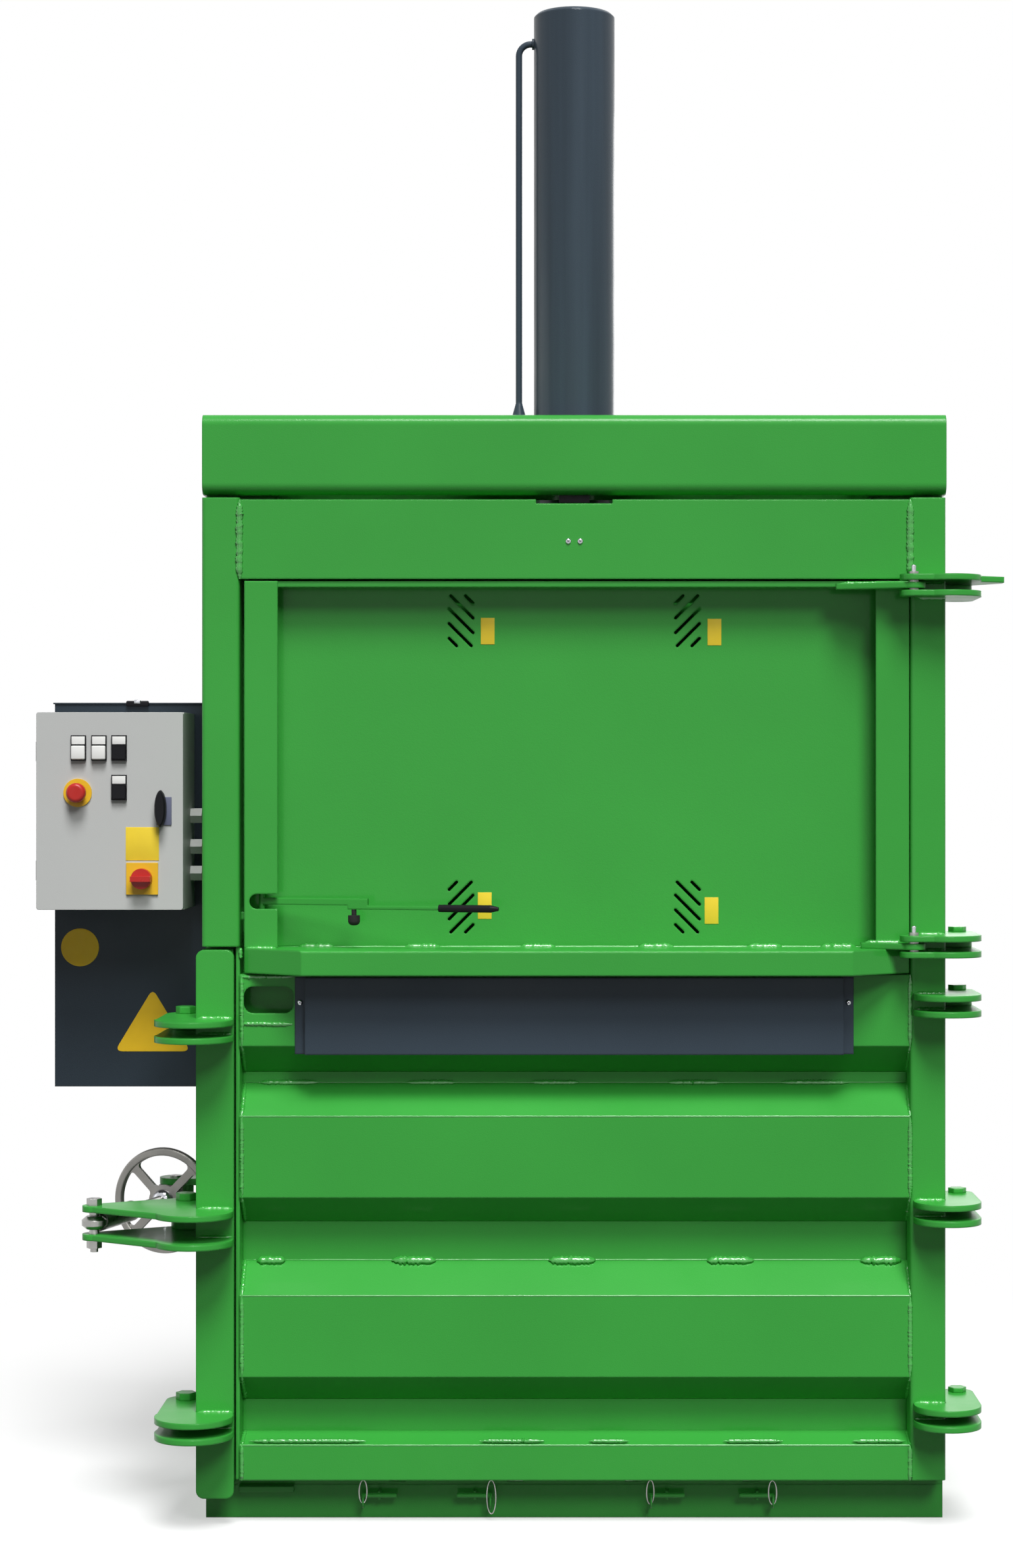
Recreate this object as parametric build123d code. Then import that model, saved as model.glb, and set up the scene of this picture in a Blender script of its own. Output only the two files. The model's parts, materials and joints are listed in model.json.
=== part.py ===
from build123d import *
from math import atan2, cos, degrees, hypot, radians, sin
import os

# Vertical mill-size recycling baler. Millimetres, +X to the operator's right, +Y to the back,
# +Z up, origin at the centre of the base's underside.

# Main frame
frame_width = 1500.0
frame_depth = 880.0
side_post_width = 144.0
sheet = 6.0
base_height = 68.0
base_plate = 12.0
floor_thickness = 12.0
post_depth = 100.0
post_wall = 8.0
overrun = 40.0
running_gap = 0.5

# Top beams, crosshead and cylinder
beam_bottom = 2077.0
beam_height = 162.0
beam_depth = 150.0
beam_radius = 22.0
beam_wall = 12.0
beam_setback = 5.0
crosshead_plate = 25.0
crosshead_width = 460.0
web_thickness = 20.0
web_offset = 125.0
web_height = 120.0
barrel_diameter = 175.0
bore_diameter = 150.0
barrel_drop = 2.0
barrel_height = 921.0
barrel_cap = 42.0
barrel_edge = 6.0
flange_diameter = 290.0
flange_thickness = 30.0
gland_length = 45.0
gland_lip = 10.0
gland_diameter = 168.0
rod_diameter = 100.0
piston_length = 60.0
piston_clearance = 0.4
pipe_diameter = 14.0
pipe_gap = 25.5
pipe_bend = 26.0
pipe_drop = 62.0
pipe_foot_diameter = 42.0
pipe_foot_height = 50.0
port_diameter = 24.0
port_proud = 4.0

# Press platen
platen_top_gap = 39.0
platen_height = 130.0
platen_side_gap = 6.0
platen_sole = 30.0
platen_web = 14.0
platen_front_gap = 14.0
platen_back_gap = 22.0
platen_boss_diameter = 190.0
groove_width = 34.0
groove_depth = 14.0
strap_pitch_share = 0.2
strap_lane_shares = [-1.5, -0.5, 0.5, 1.5]
strap_slot_height = 1500.0
strap_slot_rise = 60.0

# Bale door
door_depth = 70.0
door_gap = 2.0
door_foot_gap = 12.0
door_top_gap = 7.0
stile_width = 76.0
stile_wall = 8.0
stile_radius = 8.0
right_stile_width = 72.0
edge_setback = 9.0
header_height = 164.0
header_drop = 4.0
notch_width = 154.0
notch_depth = 8.0
rail_face_low = 966.0
rail_face_height = 144.0
flank_rise = 58.0
foot_rib_height = 71.0
foot_rib_rise = 17.0
lower_rib_level = 300.0
upper_rib_level = 661.0
rib_face_height = 164.0
rib_fall = 57.0
rib_rise = 62.0
rib_wall = 6.0
rib_recess = 64.0
side_rib_level = 1015.0
side_rib_pitch = 355.0
side_rib_count = 3
back_rib_depth = 64.0
back_rib_face = 70.0
back_rib_root = 130.0
back_rib_shares = [-2.2, -1.0, 0.0, 1.0, 2.2]
hand_hole_length = 100.0
hand_hole_height = 54.0
hand_hole_radius = 19.0
hand_hole_inset = 59.0
hand_hole_rise = 93.0
cover_drop = 16.0
cover_height = 155.0
cover_margin = 113.0
cover_stand = 16.0
cover_flange = 21.0
cover_sheet = 3.0
screw_head = 12.0
screw_height = 4.0
screw_rise = 104.0
header_screw_pitch = 24.0
header_screw_drop = 88.0

# Hinges of the bale door, on the right
hinge_side = 35.0
hinge_setback = 113.0
plate_thickness = 12.0
pair_gap = 20.0
upper_hinge_level = 1050.0
middle_hinge_level = 634.0
lower_hinge_level = 226.0
hinge_round = 32.0
plate_bulge = 82.0
plate_inset = 66.0
pin_diameter = 24.0
pin_head = 32.0
pin_head_height = 10.0
pin_clearance = 0.1
lug_round = 30.0
lug_gap = 0.6
beak_reach = 84.0
beak_width = 26.0

# Feed door in the bale door
gate_gap = 10.0
gate_depth = 66.0
gate_sheet = 5.0
gate_stile_width = 67.0
gate_top_gap = 4.0
gate_lip = 12.0
gate_rail_gap = 3.0
gate_rail_height = 50.0
gate_rail_reach = 90.0
gate_rail_taper = 122.0
gate_pin_out = 45.0
gate_pin_diameter = 20.0
gate_boss_round = 28.0
gate_arm_round = 24.0
gate_arm_drop = 12.0
gate_arm_rise = 6.0
upper_arm_length = 148.0
lower_arm_length = 98.0
nipple_diameter = 9.0
nipple_height = 12.0
slot_group_share = 0.172
slot_group_drop = 77.0
slot_group_rise = 80.0
slot_group_width = 53.0
slot_group_height = 106.0
slot_pitch = 30.0
slot_half_count = 2
slot_width = 6.0

# Feed door latch
latch_inset = 32.0
latch_setback = 30.0
latch_rod_diameter = 12.0
latch_foot_rise = 17.0
latch_rod_length = 150.0
latch_lever_rise = 77.0
latch_tab_reach = 22.0
latch_bar_height = 14.0
latch_bar_depth = 10.0
latch_bar_length = 227.0
latch_arm_start = 185.0
latch_arm_length = 191.0
latch_arm_height = 8.0
grip_length = 123.0
grip_diameter = 15.0
grip_point = 16.0
buffer_diameter = 24.0
buffer_height = 20.0
buffer_round = 9.0
buffer_neck = 10.0
buffer_neck_height = 12.0
latch_rest_angle = 15.0
tongue_reach = 30.0
tongue_angle = 25.0
tongue_height = 16.0
tongue_width = 6.0
tongue_drop = 30.0
lever_notch_height = 30.0
lever_notch_length = 57.0
keeper_lap = 4.8
keeper_depth = 10.0
keeper_setback = 29.0
keeper_height = 16.0
latch_plate = 6.0

# Lock bar, its linkage and the handwheel, on the left
lock_side = 46.0
lock_setback = 113.0
bar_overhang = 10.0
bar_width = 76.0
bar_thickness = 12.0
bar_low = 58.0
bar_height = 1102.0
bar_radius = 16.0
bar_top_gap = 6.0
upper_lock_level = 1001.0
rod_level = 606.0
lower_lock_level = 210.0
lock_gap = 20.0
rod_gap = 45.0
lock_round = 40.0
lock_bulge = 111.0
arm_out = 176.0
arm_forward = 76.0
arm_round = 24.0
lock_bolt = 24.0
lock_head = 36.0
lock_head_height = 15.0
rod_bolt = 16.0
rod_bolt_head = 27.0
rod_bolt_head_height = 14.0
rod_nut_height = 17.0
rod_bolt_end = 8.0
eye_diameter = 50.0
eye_height = 26.0
eye_rim_height = 11.0
eye_mouth = 32.0
spacer_foot = 22.0
spacer_neck = 19.0
spacer_gap = 0.4
sleeve_diameter = 42.0
sleeve_length = 172.0
sleeve_lap = 6.0
spindle_diameter = 24.0
spindle_slack = 3.0
spindle_overlap = 40.5
trunnion_reach = 106.0
trunnion_setback = 413.0
trunnion_size = 56.0
trunnion_pin = 26.0
trunnion_pin_length = 18.0
bracket_plate = 14.0
bracket_width = 70.0
spindle_tail = 60.0
collar_diameter = 40.0
collar_length = 10.0
wheel_diameter = 225.0
wheel_rim = 17.0
wheel_rim_depth = 18.0
wheel_rim_round = 6.0
wheel_offset = 62.0
wheel_boss = 66.0
wheel_hub = 48.0
wheel_hub_length = 40.0
wheel_hub_round = 16.0
wheel_spokes = 4
spoke_width = 17.0
spoke_thickness = 9.0
spoke_round = 9.0
jamb_gap = 6.0
jamb_setback = 14.0

# Hydraulic cabinet and control box
cabinet_width = 344.0
cabinet_low = 856.0
cabinet_height = 805.0
cabinet_setback = 280.0
cabinet_depth = 500.0
cabinet_sheet = 3.0
tank_height = 330.0
tank_margin = 40.0
motor_diameter = 190.0
motor_length = 280.0
box_side_gap = 50.0
box_width = 300.0
box_low = 1236.0
box_height = 404.0
box_setback = 95.0
box_wall = 3.0
box_door_depth = 18.0
box_radius = 5.0
box_gap = 0.4
box_lip = 15.0
knuckle_diameter = 8.0
knuckle_length = 40.0
knuckle_inset = 60.0
gear_plate = 3.0
gear_depth = 70.0
gear_count = 4
lamp_width = 31.0
lamp_height = 52.0
lamp_depth = 8.0
lamp_lens = 28.0
lamp_lens_depth = 6.0
lens_drop = 9.5
top_row_share = 0.819
second_row_share = 0.619
lamp_column_shares = [0.29, 0.43]
button_column_share = 0.567
button_size = 26.0
button_depth = 7.0
button_travel = 4.0
stop_shares = (0.283, 0.592)
stop_collar = 58.0
stop_collar_depth = 3.0
stop_head = 40.0
stop_head_depth = 16.0
stop_stem = 22.0
stop_stem_depth = 16.0
handle_shares = (0.853, 0.512)
handle_width = 24.0
handle_height = 76.0
handle_depth = 20.0
handle_stem = 18.0
handle_stem_depth = 8.0
cam_length = 34.0
cam_width = 14.0
cam_thickness = 3.0
switch_shares = (0.723, 0.158)
switch_plate = 65.0
switch_plate_depth = 4.0
switch_knob = 42.0
switch_knob_depth = 18.0
switch_grip = 11.0
switch_grip_depth = 14.0
gland_level_shares = [0.473, 0.314, 0.176]
gland_hex = 30.0
gland_reach = 24.0
gland_setback = 225.0
gland_hole = 20.0
mount_gap = 0.4

# Small pieces at the foot and under the beam
hook_shares = [-0.264, -0.1347, 0.1253, 0.2473]
hook_length = 72.0
hook_diameter = 10.0
hook_level = 50.0
hook_setback = 50.0
hook_tab = 6.0
hook_tab_height = 18.0
loop_diameter = 30.0
loop_wire = 4.0
ledge_offset = 7.0
ledge_width = 111.0
ledge_thickness = 12.0
switch_body_width = 62.0
switch_body_depth = 40.0
switch_body_height = 15.0

# Places worked out from the sizes above: frame and press
half_width = frame_width / 2
half_chamber = half_width - side_post_width - sheet
front_y = -frame_depth / 2
back_y = frame_depth / 2
face_y = front_y - door_gap - door_depth
floor_top = base_height + floor_thickness
strap_pitch = strap_pitch_share * 2 * half_chamber
platen_depth = frame_depth - back_rib_depth - sheet - platen_front_gap - platen_back_gap
press_y = front_y + platen_front_gap + platen_depth / 2
platen_bottom = beam_bottom - platen_top_gap - platen_height
beam_top = beam_bottom + beam_height
barrel_bottom = beam_bottom - barrel_drop
barrel_top = beam_top + barrel_height
pipe_offset = barrel_diameter / 2 + pipe_gap + pipe_diameter / 2

# Bale door and its hinges
door_bottom = floor_top + door_foot_gap
door_top = beam_bottom - door_top_gap
header_bottom = door_top - header_height
rail_face_high = rail_face_low + rail_face_height
rib_faces = [
    (door_bottom, door_bottom + foot_rib_height, 0.0, foot_rib_rise),
    (lower_rib_level, lower_rib_level + rib_face_height, rib_fall, rib_rise),
    (upper_rib_level, upper_rib_level + rib_face_height, rib_fall, rib_rise),
]
stile_left = -half_width
stile_right = stile_left + stile_width
right_stile_left = half_width - right_stile_width - door_gap
right_stile_right = right_stile_left + right_stile_width
cover_half_width = (right_stile_left - stile_right) / 2 - cover_margin
cover_low = rail_face_low - cover_drop
hinge_x = half_width + hinge_side
hinge_y = face_y + hinge_setback

# Feed door and its latch
gate_left = stile_right + gate_gap
gate_right = right_stile_left - door_gap
gate_top = header_bottom - gate_top_gap
gate_rail_low = rail_face_high + gate_rail_gap
gate_rail_high = gate_rail_low + gate_rail_height
gate_pin_x = right_stile_left + door_gap
gate_pin_y = face_y - gate_pin_out
gate_arm_levels = [gate_top - gate_arm_drop, gate_rail_high + gate_arm_rise]
gate_arm_lengths = [upper_arm_length, lower_arm_length]
pair_levels = gate_arm_levels + [upper_hinge_level, middle_hinge_level, lower_hinge_level]
slot_group_x = slot_group_share * (gate_right - gate_left)
slot_levels = [gate_top - slot_group_drop, gate_rail_high + slot_group_rise]
latch_x = gate_left + latch_inset
latch_y = face_y + latch_setback
latch_foot = gate_rail_high + latch_foot_rise
latch_head = latch_foot + latch_rod_length
latch_level = latch_foot + latch_lever_rise

# Lock bar and its linkage
bar_high = bar_low + bar_height
bar_left = -half_width - bar_overhang
bar_right = bar_left + bar_width
stile_foot = bar_high + bar_top_gap
jamb_width = stile_width - stile_wall - jamb_gap
lock_x = -half_width - lock_side
lock_y = face_y + lock_setback
lock_levels = [upper_lock_level, rod_level, lower_lock_level]
lock_gaps = [lock_gap, rod_gap, lock_gap]
rod_x = lock_x - arm_out
rod_y = lock_y - arm_forward
trunnion_x = -half_width - trunnion_reach
trunnion_y = face_y + trunnion_setback
spindle_angle = degrees(atan2(trunnion_x - rod_x, trunnion_y - rod_y))
rod_reach = hypot(trunnion_x - rod_x, trunnion_y - rod_y)
spindle_front = rod_reach - sleeve_length + spindle_overlap

# Cabinet and control box
cabinet_left = -half_width - cabinet_width
cabinet_high = cabinet_low + cabinet_height
box_right = -half_width - box_side_gap
box_left = box_right - box_width
box_high = box_low + box_height
box_face_y = face_y + box_setback
box_back_y = face_y + cabinet_setback


def on_box(shares):
    """X and Z of a place on the control box's door."""
    across, up = shares
    return box_left + across * box_width, box_low + up * box_height


stop_x, stop_z = on_box(stop_shares)
handle_x, handle_z = on_box(handle_shares)
switch_x, switch_z = on_box(switch_shares)
lamp_places = [on_box((column, top_row_share)) for column in lamp_column_shares]
button_places = [on_box((button_column_share, row)) for row in (top_row_share, second_row_share)]
gland_levels = [box_low + share * box_height for share in gland_level_shares]
hook_places = [share * frame_width for share in hook_shares]


def block(x0, x1, y0, y1, z0, z1):
    """A box given by its lowest and highest corners."""
    centre = Pos((x0 + x1) / 2, (y0 + y1) / 2, (z0 + z1) / 2)
    return centre * Box(x1 - x0, y1 - y0, z1 - z0)


def post(x, y, z0, z1, diameter):
    """An upright round bar."""
    return Pos(x, y, (z0 + z1) / 2) * Cylinder(diameter / 2, z1 - z0)


def hex_head(x, y, z0, height, across):
    """An upright hexagon head that starts at z0."""
    return extrude(Pos(x, y, z0) * RegularPolygon(across / 2, 6, major_radius=False), height)


def stud(x, y, z, diameter, length):
    """A round bar that starts at y and points to the front."""
    return Pos(x, y - length / 2, z) * Rot(90, 0, 0) * Cylinder(diameter / 2, length)


def plan_plate(points, z0, thickness):
    """An outline seen from above, raised to a plate."""
    outline = make_face(Polyline([(x, y, z0) for x, y in points], close=True))
    return extrude(outline, thickness, dir=(0, 0, 1))


def along_x(points, x0, x1):
    """A section given as (y, z), drawn out along X."""
    outline = make_face(Polyline([(x0, y, z) for y, z in points], close=True))
    return extrude(outline, x1 - x0, dir=(1, 0, 0))


def along_y(points, y0, y1):
    """A section given as (x, z), drawn out along Y."""
    outline = make_face(Polyline([(x, y0, z) for x, z in points], close=True))
    return extrude(outline, y1 - y0, dir=(0, 1, 0))


def hat_section(face, root, low, high, root_low, root_high, wall):
    """Outer and inner outlines of a folded rib, as (depth, z) pairs."""
    inward = wall if root > face else -wall
    outer = [(face, low), (face, high), (root, root_high), (root, root_low)]
    inner = [
        (face + inward, low + wall),
        (face + inward, high - wall),
        (root, root_high - 2 * wall),
        (root, root_low + 2 * wall),
    ]
    return outer, inner


def hollow_tube(x0, x1, y0, y1, z0, z1, wall, radius):
    """An upright rectangular tube with rounded corners."""
    middle = Pos((x0 + x1) / 2, (y0 + y1) / 2, z0)
    outer = extrude(middle * RectangleRounded(x1 - x0, y1 - y0, radius), z1 - z0)
    bore = extrude(middle * Rectangle(x1 - x0 - 2 * wall, y1 - y0 - 2 * wall), z1 - z0)
    return outer - bore


def strap_places():
    """X of the four strap lanes."""
    return [lane * strap_pitch for lane in strap_lane_shares]


def base_frame():
    """Folded tray under the chamber, with cross ribs and the ledge that the door rests on."""
    tray = block(-half_width, half_width, front_y, back_y, 0, base_height)
    bay = (frame_width - 2 * post_wall - 2 * web_thickness) / 3
    for i in range(3):
        x0 = -half_width + post_wall + i * (bay + web_thickness)
        tray -= block(x0, x0 + bay, front_y + post_wall, back_y - post_wall,
                      base_plate, base_height + overrun)
    ledge_left = stile_right - ledge_offset
    ledge = block(ledge_left, ledge_left + ledge_width, face_y + hook_setback, front_y,
                  base_height - ledge_thickness, base_height)
    return tray + ledge


def floor_plate():
    """Chamber floor with a groove under each strap."""
    floor = block(-half_width, half_width, front_y, back_y, base_height, floor_top)
    for x in strap_places():
        floor -= block(x - groove_width / 2, x + groove_width / 2, front_y - overrun, back_y + overrun,
                       base_height + floor_thickness / 2, floor_top + overrun)
    return floor


def side_wall():
    """Right side: skin, three posts, and the folded ribs between the posts."""
    inner = half_chamber + sheet
    wall = block(half_chamber, inner, front_y, back_y, floor_top, beam_bottom)
    post_starts = [front_y, trunnion_y - post_depth / 2, back_y - post_depth]
    pieces = [hollow_tube(inner, half_width, y0, y0 + post_depth, floor_top, beam_bottom, post_wall, stile_radius)
              for y0 in post_starts]
    levels = rib_faces[1:]
    for i in range(side_rib_count):
        low = side_rib_level + i * side_rib_pitch
        levels.append((low, low + rib_face_height, flank_rise, flank_rise))
    for low, high, fall, rise in levels:
        outer, hollow = hat_section(half_width - stile_radius, inner, low, high, low - fall, high + rise, rib_wall)
        for before, after in zip(post_starts, post_starts[1:]):
            y0 = before + post_depth
            pieces.append(along_y(outer, y0, after) - along_y(hollow, y0, after))
    return wall + pieces


def lock_jamb():
    """Bar on the front of the left wall that fills in behind the lock bar."""
    return block(-half_width, -half_width + jamb_width, face_y + jamb_setback, front_y, floor_top, bar_high)


def back_wall():
    """Rear skin with upright ribs outside and a slot for each strap."""
    skin_y = back_y - back_rib_depth
    wall = block(-half_chamber, half_chamber, skin_y - sheet, skin_y, floor_top, beam_bottom)
    for x in [share * strap_pitch for share in back_rib_shares]:
        outline = [(x - back_rib_root / 2, skin_y), (x + back_rib_root / 2, skin_y),
                   (x + back_rib_face / 2, back_y), (x - back_rib_face / 2, back_y)]
        hollow = [(x - back_rib_root / 2 + 2 * rib_wall, skin_y), (x + back_rib_root / 2 - 2 * rib_wall, skin_y),
                  (x + back_rib_face / 2 - rib_wall, back_y - rib_wall),
                  (x - back_rib_face / 2 + rib_wall, back_y - rib_wall)]
        height = beam_bottom - floor_top
        wall += plan_plate(outline, floor_top, height) - plan_plate(hollow, floor_top, height)
    for x in strap_places():
        wall -= block(x - groove_width / 2, x + groove_width / 2, skin_y - sheet - overrun, back_y + overrun,
                      floor_top + strap_slot_rise, floor_top + strap_slot_rise + strap_slot_height)
    return wall


def beam(y0):
    """One rounded box beam across the top."""
    middle = Plane.YZ.offset(-half_width) * Pos(y0 + beam_depth / 2, beam_bottom + beam_height / 2)
    outer = extrude(middle * RectangleRounded(beam_depth, beam_height, beam_radius), frame_width)
    bore = extrude(middle * Rectangle(beam_depth - 2 * beam_wall, beam_height - 2 * beam_wall), frame_width)
    return outer - bore


def crosshead():
    """Plate over both beams with two webs below it, bored for the cylinder."""
    plate = block(-crosshead_width / 2, crosshead_width / 2, face_y + beam_setback + beam_depth,
                  back_y - beam_depth, beam_top - crosshead_plate, beam_top)
    for side in (-1, 1):
        x = side * web_offset
        plate += block(x - web_thickness / 2, x + web_thickness / 2, face_y + beam_setback + beam_depth,
                       back_y - beam_depth, beam_top - web_height, beam_top)
    return plate - post(0, press_y, beam_top - web_height - overrun, beam_top + overrun, barrel_diameter)


def cylinder_barrel():
    """Press cylinder: tube with a closed top, a fixing flange and a port boss on its left."""
    barrel = post(0, press_y, barrel_bottom, barrel_top, barrel_diameter)
    barrel = chamfer(barrel.edges().group_by(Axis.Z)[-1], barrel_edge)
    barrel += post(0, press_y, beam_top, beam_top + flange_thickness, flange_diameter)
    boss = Pos(-barrel_diameter / 2, press_y, barrel_top - pipe_drop) * Rot(0, 90, 0)
    barrel += boss * Cylinder(port_diameter / 2, 2 * port_proud)
    return barrel - post(0, press_y, barrel_bottom - overrun, barrel_top - barrel_cap, bore_diameter)


def cylinder_gland():
    """Guide ring that the rod runs through, closing the cylinder's lower end."""
    ring = post(0, press_y, barrel_bottom, barrel_bottom + gland_length, bore_diameter)
    ring += post(0, press_y, barrel_bottom - gland_lip, barrel_bottom, gland_diameter)
    return ring - post(0, press_y, barrel_bottom - overrun, barrel_bottom + gland_length + overrun,
                       rod_diameter + 2 * pin_clearance)


def hydraulic_pipe():
    """Steel pipe up the left of the cylinder, with a bend at the top and a coned foot."""
    level = barrel_top - pipe_drop
    foot_z = beam_top + flange_thickness
    end_x = -barrel_diameter / 2 - port_proud
    path = FilletPolyline((-pipe_offset, press_y, foot_z), (-pipe_offset, press_y, level),
                          (end_x, press_y, level), radius=pipe_bend)
    pipe = sweep(Plane((-pipe_offset, press_y, foot_z), z_dir=(0, 0, 1)) * Circle(pipe_diameter / 2), path)
    foot = Pos(-pipe_offset, press_y, foot_z + pipe_foot_height / 2)
    return pipe + foot * Cone(pipe_foot_diameter / 2, pipe_diameter / 2, pipe_foot_height)


def piston_rod():
    """Chromed rod with its piston head."""
    top = barrel_top - barrel_cap - piston_length / 2
    rod = post(0, press_y, platen_bottom + platen_sole, top, rod_diameter)
    return rod + post(0, press_y, top - piston_length, top, bore_diameter - 2 * piston_clearance)


def platen():
    """Press plate: grooved sole, four webs and a boss round the rod."""
    half = half_chamber - platen_side_gap
    y0 = press_y - platen_depth / 2
    y1 = press_y + platen_depth / 2
    top = platen_bottom + platen_height
    plate = block(-half, half, y0, y1, platen_bottom, platen_bottom + platen_sole)
    for x in strap_places():
        plate -= block(x - groove_width / 2, x + groove_width / 2, y0 - overrun, y1 + overrun,
                       platen_bottom - overrun, platen_bottom + groove_depth)
        plate += block(x - platen_web / 2, x + platen_web / 2, y0, y1, platen_bottom + platen_sole, top)
    plate += block(-half, half, press_y - platen_web, press_y + platen_web, platen_bottom + platen_sole, top)
    plate += post(0, press_y, platen_bottom + platen_sole, top, platen_boss_diameter)
    return plate - post(0, press_y, platen_bottom + platen_sole, top + overrun, rod_diameter)


def door_left_stile():
    """Tube above the lock bar and, welded under it, the strip that edges the door beside the bar."""
    tube = hollow_tube(stile_left, stile_right, face_y, face_y + door_depth, stile_foot, door_top,
                       stile_wall, stile_radius)
    strip = block(stile_right - stile_wall, stile_right, face_y + edge_setback, face_y + door_depth,
                  door_bottom, stile_foot)
    return [tube, strip]


def door_right_stile():
    return hollow_tube(right_stile_left, right_stile_right, face_y, face_y + door_depth, door_bottom,
                       door_top, stile_wall, stile_radius)


def door_header():
    """Folded channel over the feed door, notched at the middle of its top edge."""
    top = door_top - header_drop
    channel = block(stile_right, right_stile_left, face_y, face_y + door_depth, header_bottom, top)
    channel -= block(stile_right - overrun, right_stile_left + overrun, face_y + sheet,
                     face_y + door_depth + overrun, header_bottom + sheet, top - sheet)
    return channel - block(-notch_width / 2, notch_width / 2, face_y - overrun,
                           face_y + door_depth + overrun, top - notch_depth, top + overrun)


def door_mid_rail():
    """Folded rail under the feed door, with a rounded hand hole on the left."""
    root = face_y + rib_recess
    outer, hollow = hat_section(face_y, root, rail_face_low, rail_face_high,
                                rail_face_low - flank_rise, rail_face_high, rib_wall)
    rail = along_x(outer, stile_right, right_stile_left)
    rail -= along_x(hollow, stile_right, right_stile_left)
    hole = Plane.XZ * Pos(stile_right + hand_hole_inset, rail_face_low + hand_hole_rise)
    hole *= RectangleRounded(hand_hole_length, hand_hole_height, hand_hole_radius)
    return rail - Pos(0, face_y, 0) * extrude(hole, 2 * rib_wall, both=True)


def door_ribs():
    """The three folded ribs across the door."""
    ribs = []
    for low, high, fall, rise in rib_faces:
        outer, hollow = hat_section(face_y, face_y + rib_recess, low, high, low - fall, high + rise, rib_wall)
        rib = along_x(outer, stile_right, right_stile_left)
        ribs.append(rib - along_x(hollow, stile_right, right_stile_left))
    return ribs


def door_skin():
    return block(stile_right, right_stile_left, face_y + rib_recess, face_y + door_depth,
                 door_bottom, rail_face_high)


def cover_plate():
    """Dark cover stood off the rail, with a flat flange at each end."""
    w = cover_half_width
    bend = w - cover_flange
    t = cover_sheet
    back = face_y - cover_stand
    outline = [(-w, face_y), (-bend + t, face_y), (-bend + t, back), (bend - t, back), (bend - t, face_y),
               (w, face_y), (w, face_y - t), (bend, face_y - t), (bend, back - t), (-bend, back - t),
               (-bend, face_y - t), (-w, face_y - t)]
    return plan_plate(outline, cover_low, cover_height)


def door_screws():
    """Two screws in the cover's flanges and two in the header."""
    x = cover_half_width - cover_flange / 2
    cover_y = face_y - cover_sheet
    cover_z = cover_low + screw_rise
    header_z = door_top - header_screw_drop
    places = [(-x, cover_y, cover_z), (x, cover_y, cover_z),
              (-header_screw_pitch / 2, face_y, header_z), (header_screw_pitch / 2, face_y, header_z)]
    return [stud(x, y, z, screw_head, screw_height) for x, y, z in places]


def hinge_outline(with_gate, with_beak):
    """Plan of a hinge plate, wrapped round the stile's corner to the hinge pin."""
    x0 = right_stile_right - plate_inset
    far = hinge_x + hinge_round
    bulge = face_y - plate_bulge
    inner = hinge_x - hinge_round
    start = Line((x0, face_y), (x0, face_y - plate_thickness))
    crown = ThreePointArc((x0, face_y - plate_thickness), (right_stile_right, bulge),
                          (far, face_y - plate_thickness))
    side = Line((far, face_y - plate_thickness), (far, hinge_y))
    end = ThreePointArc((far, hinge_y), (hinge_x, hinge_y + hinge_round), (inner, hinge_y))
    back = Polyline((inner, hinge_y), (inner, front_y - door_gap), (right_stile_right, front_y - door_gap),
                    (right_stile_right, face_y), (x0, face_y))
    plate = make_face(start + crown + side + end + back)
    if with_gate:
        neck = Polyline((gate_pin_x, gate_pin_y - gate_boss_round), (right_stile_right, gate_pin_y - gate_boss_round),
                        (right_stile_right, gate_pin_y + gate_boss_round),
                        (gate_pin_x, gate_pin_y + gate_boss_round), close=True)
        plate += make_face(neck) + Pos(gate_pin_x, gate_pin_y) * Circle(gate_boss_round)
        plate -= Pos(gate_pin_x, gate_pin_y) * Circle(gate_pin_diameter / 2)
    if with_beak:
        tip = hinge_x + beak_reach
        beak = Polyline((far, face_y), (tip, face_y + beak_width), (tip, face_y + 2 * beak_width),
                        (far, hinge_y), close=True)
        plate += make_face(beak)
    return plate - Pos(hinge_x, hinge_y) * Circle(pin_diameter / 2)


def door_hinge_plates():
    """Five pairs of plates; the two upper pairs also carry the feed door's pins."""
    plates = []
    for i, level in enumerate(pair_levels):
        for z0 in (level + pair_gap / 2, level - pair_gap / 2 - plate_thickness):
            upper_pair = i == 0 and z0 > level
            outline = hinge_outline(i < len(gate_arm_lengths), upper_pair)
            plates.append(extrude(Pos(0, 0, z0) * outline, plate_thickness))
    return plates


def hinge_pin(x, y, level, gap, diameter, head, head_height):
    """A pin through one pair of plates with a hexagon head on top."""
    low = level - gap / 2 - plate_thickness
    high = level + gap / 2 + plate_thickness
    return post(x, y, low, high, diameter) + hex_head(x, y, high, head_height, head)


def door_hinge_pins():
    return [hinge_pin(hinge_x, hinge_y, level, pair_gap, pin_diameter, pin_head, pin_head_height)
            for level in pair_levels]


def lug(x, y, wall_x, level, gap, round_radius, bolt):
    """A hinge lug welded to the side of the frame, between one pair of plates."""
    low = level - gap / 2 + lug_gap
    height = gap - 2 * lug_gap
    outline = make_face(Polyline((x, y - round_radius), (wall_x, y - round_radius),
                                 (wall_x, y + round_radius), (x, y + round_radius), close=True))
    outline += Pos(x, y) * Circle(round_radius)
    outline -= Pos(x, y) * Circle(bolt / 2 + pin_clearance)
    return extrude(Pos(0, 0, low) * outline, height)


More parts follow.
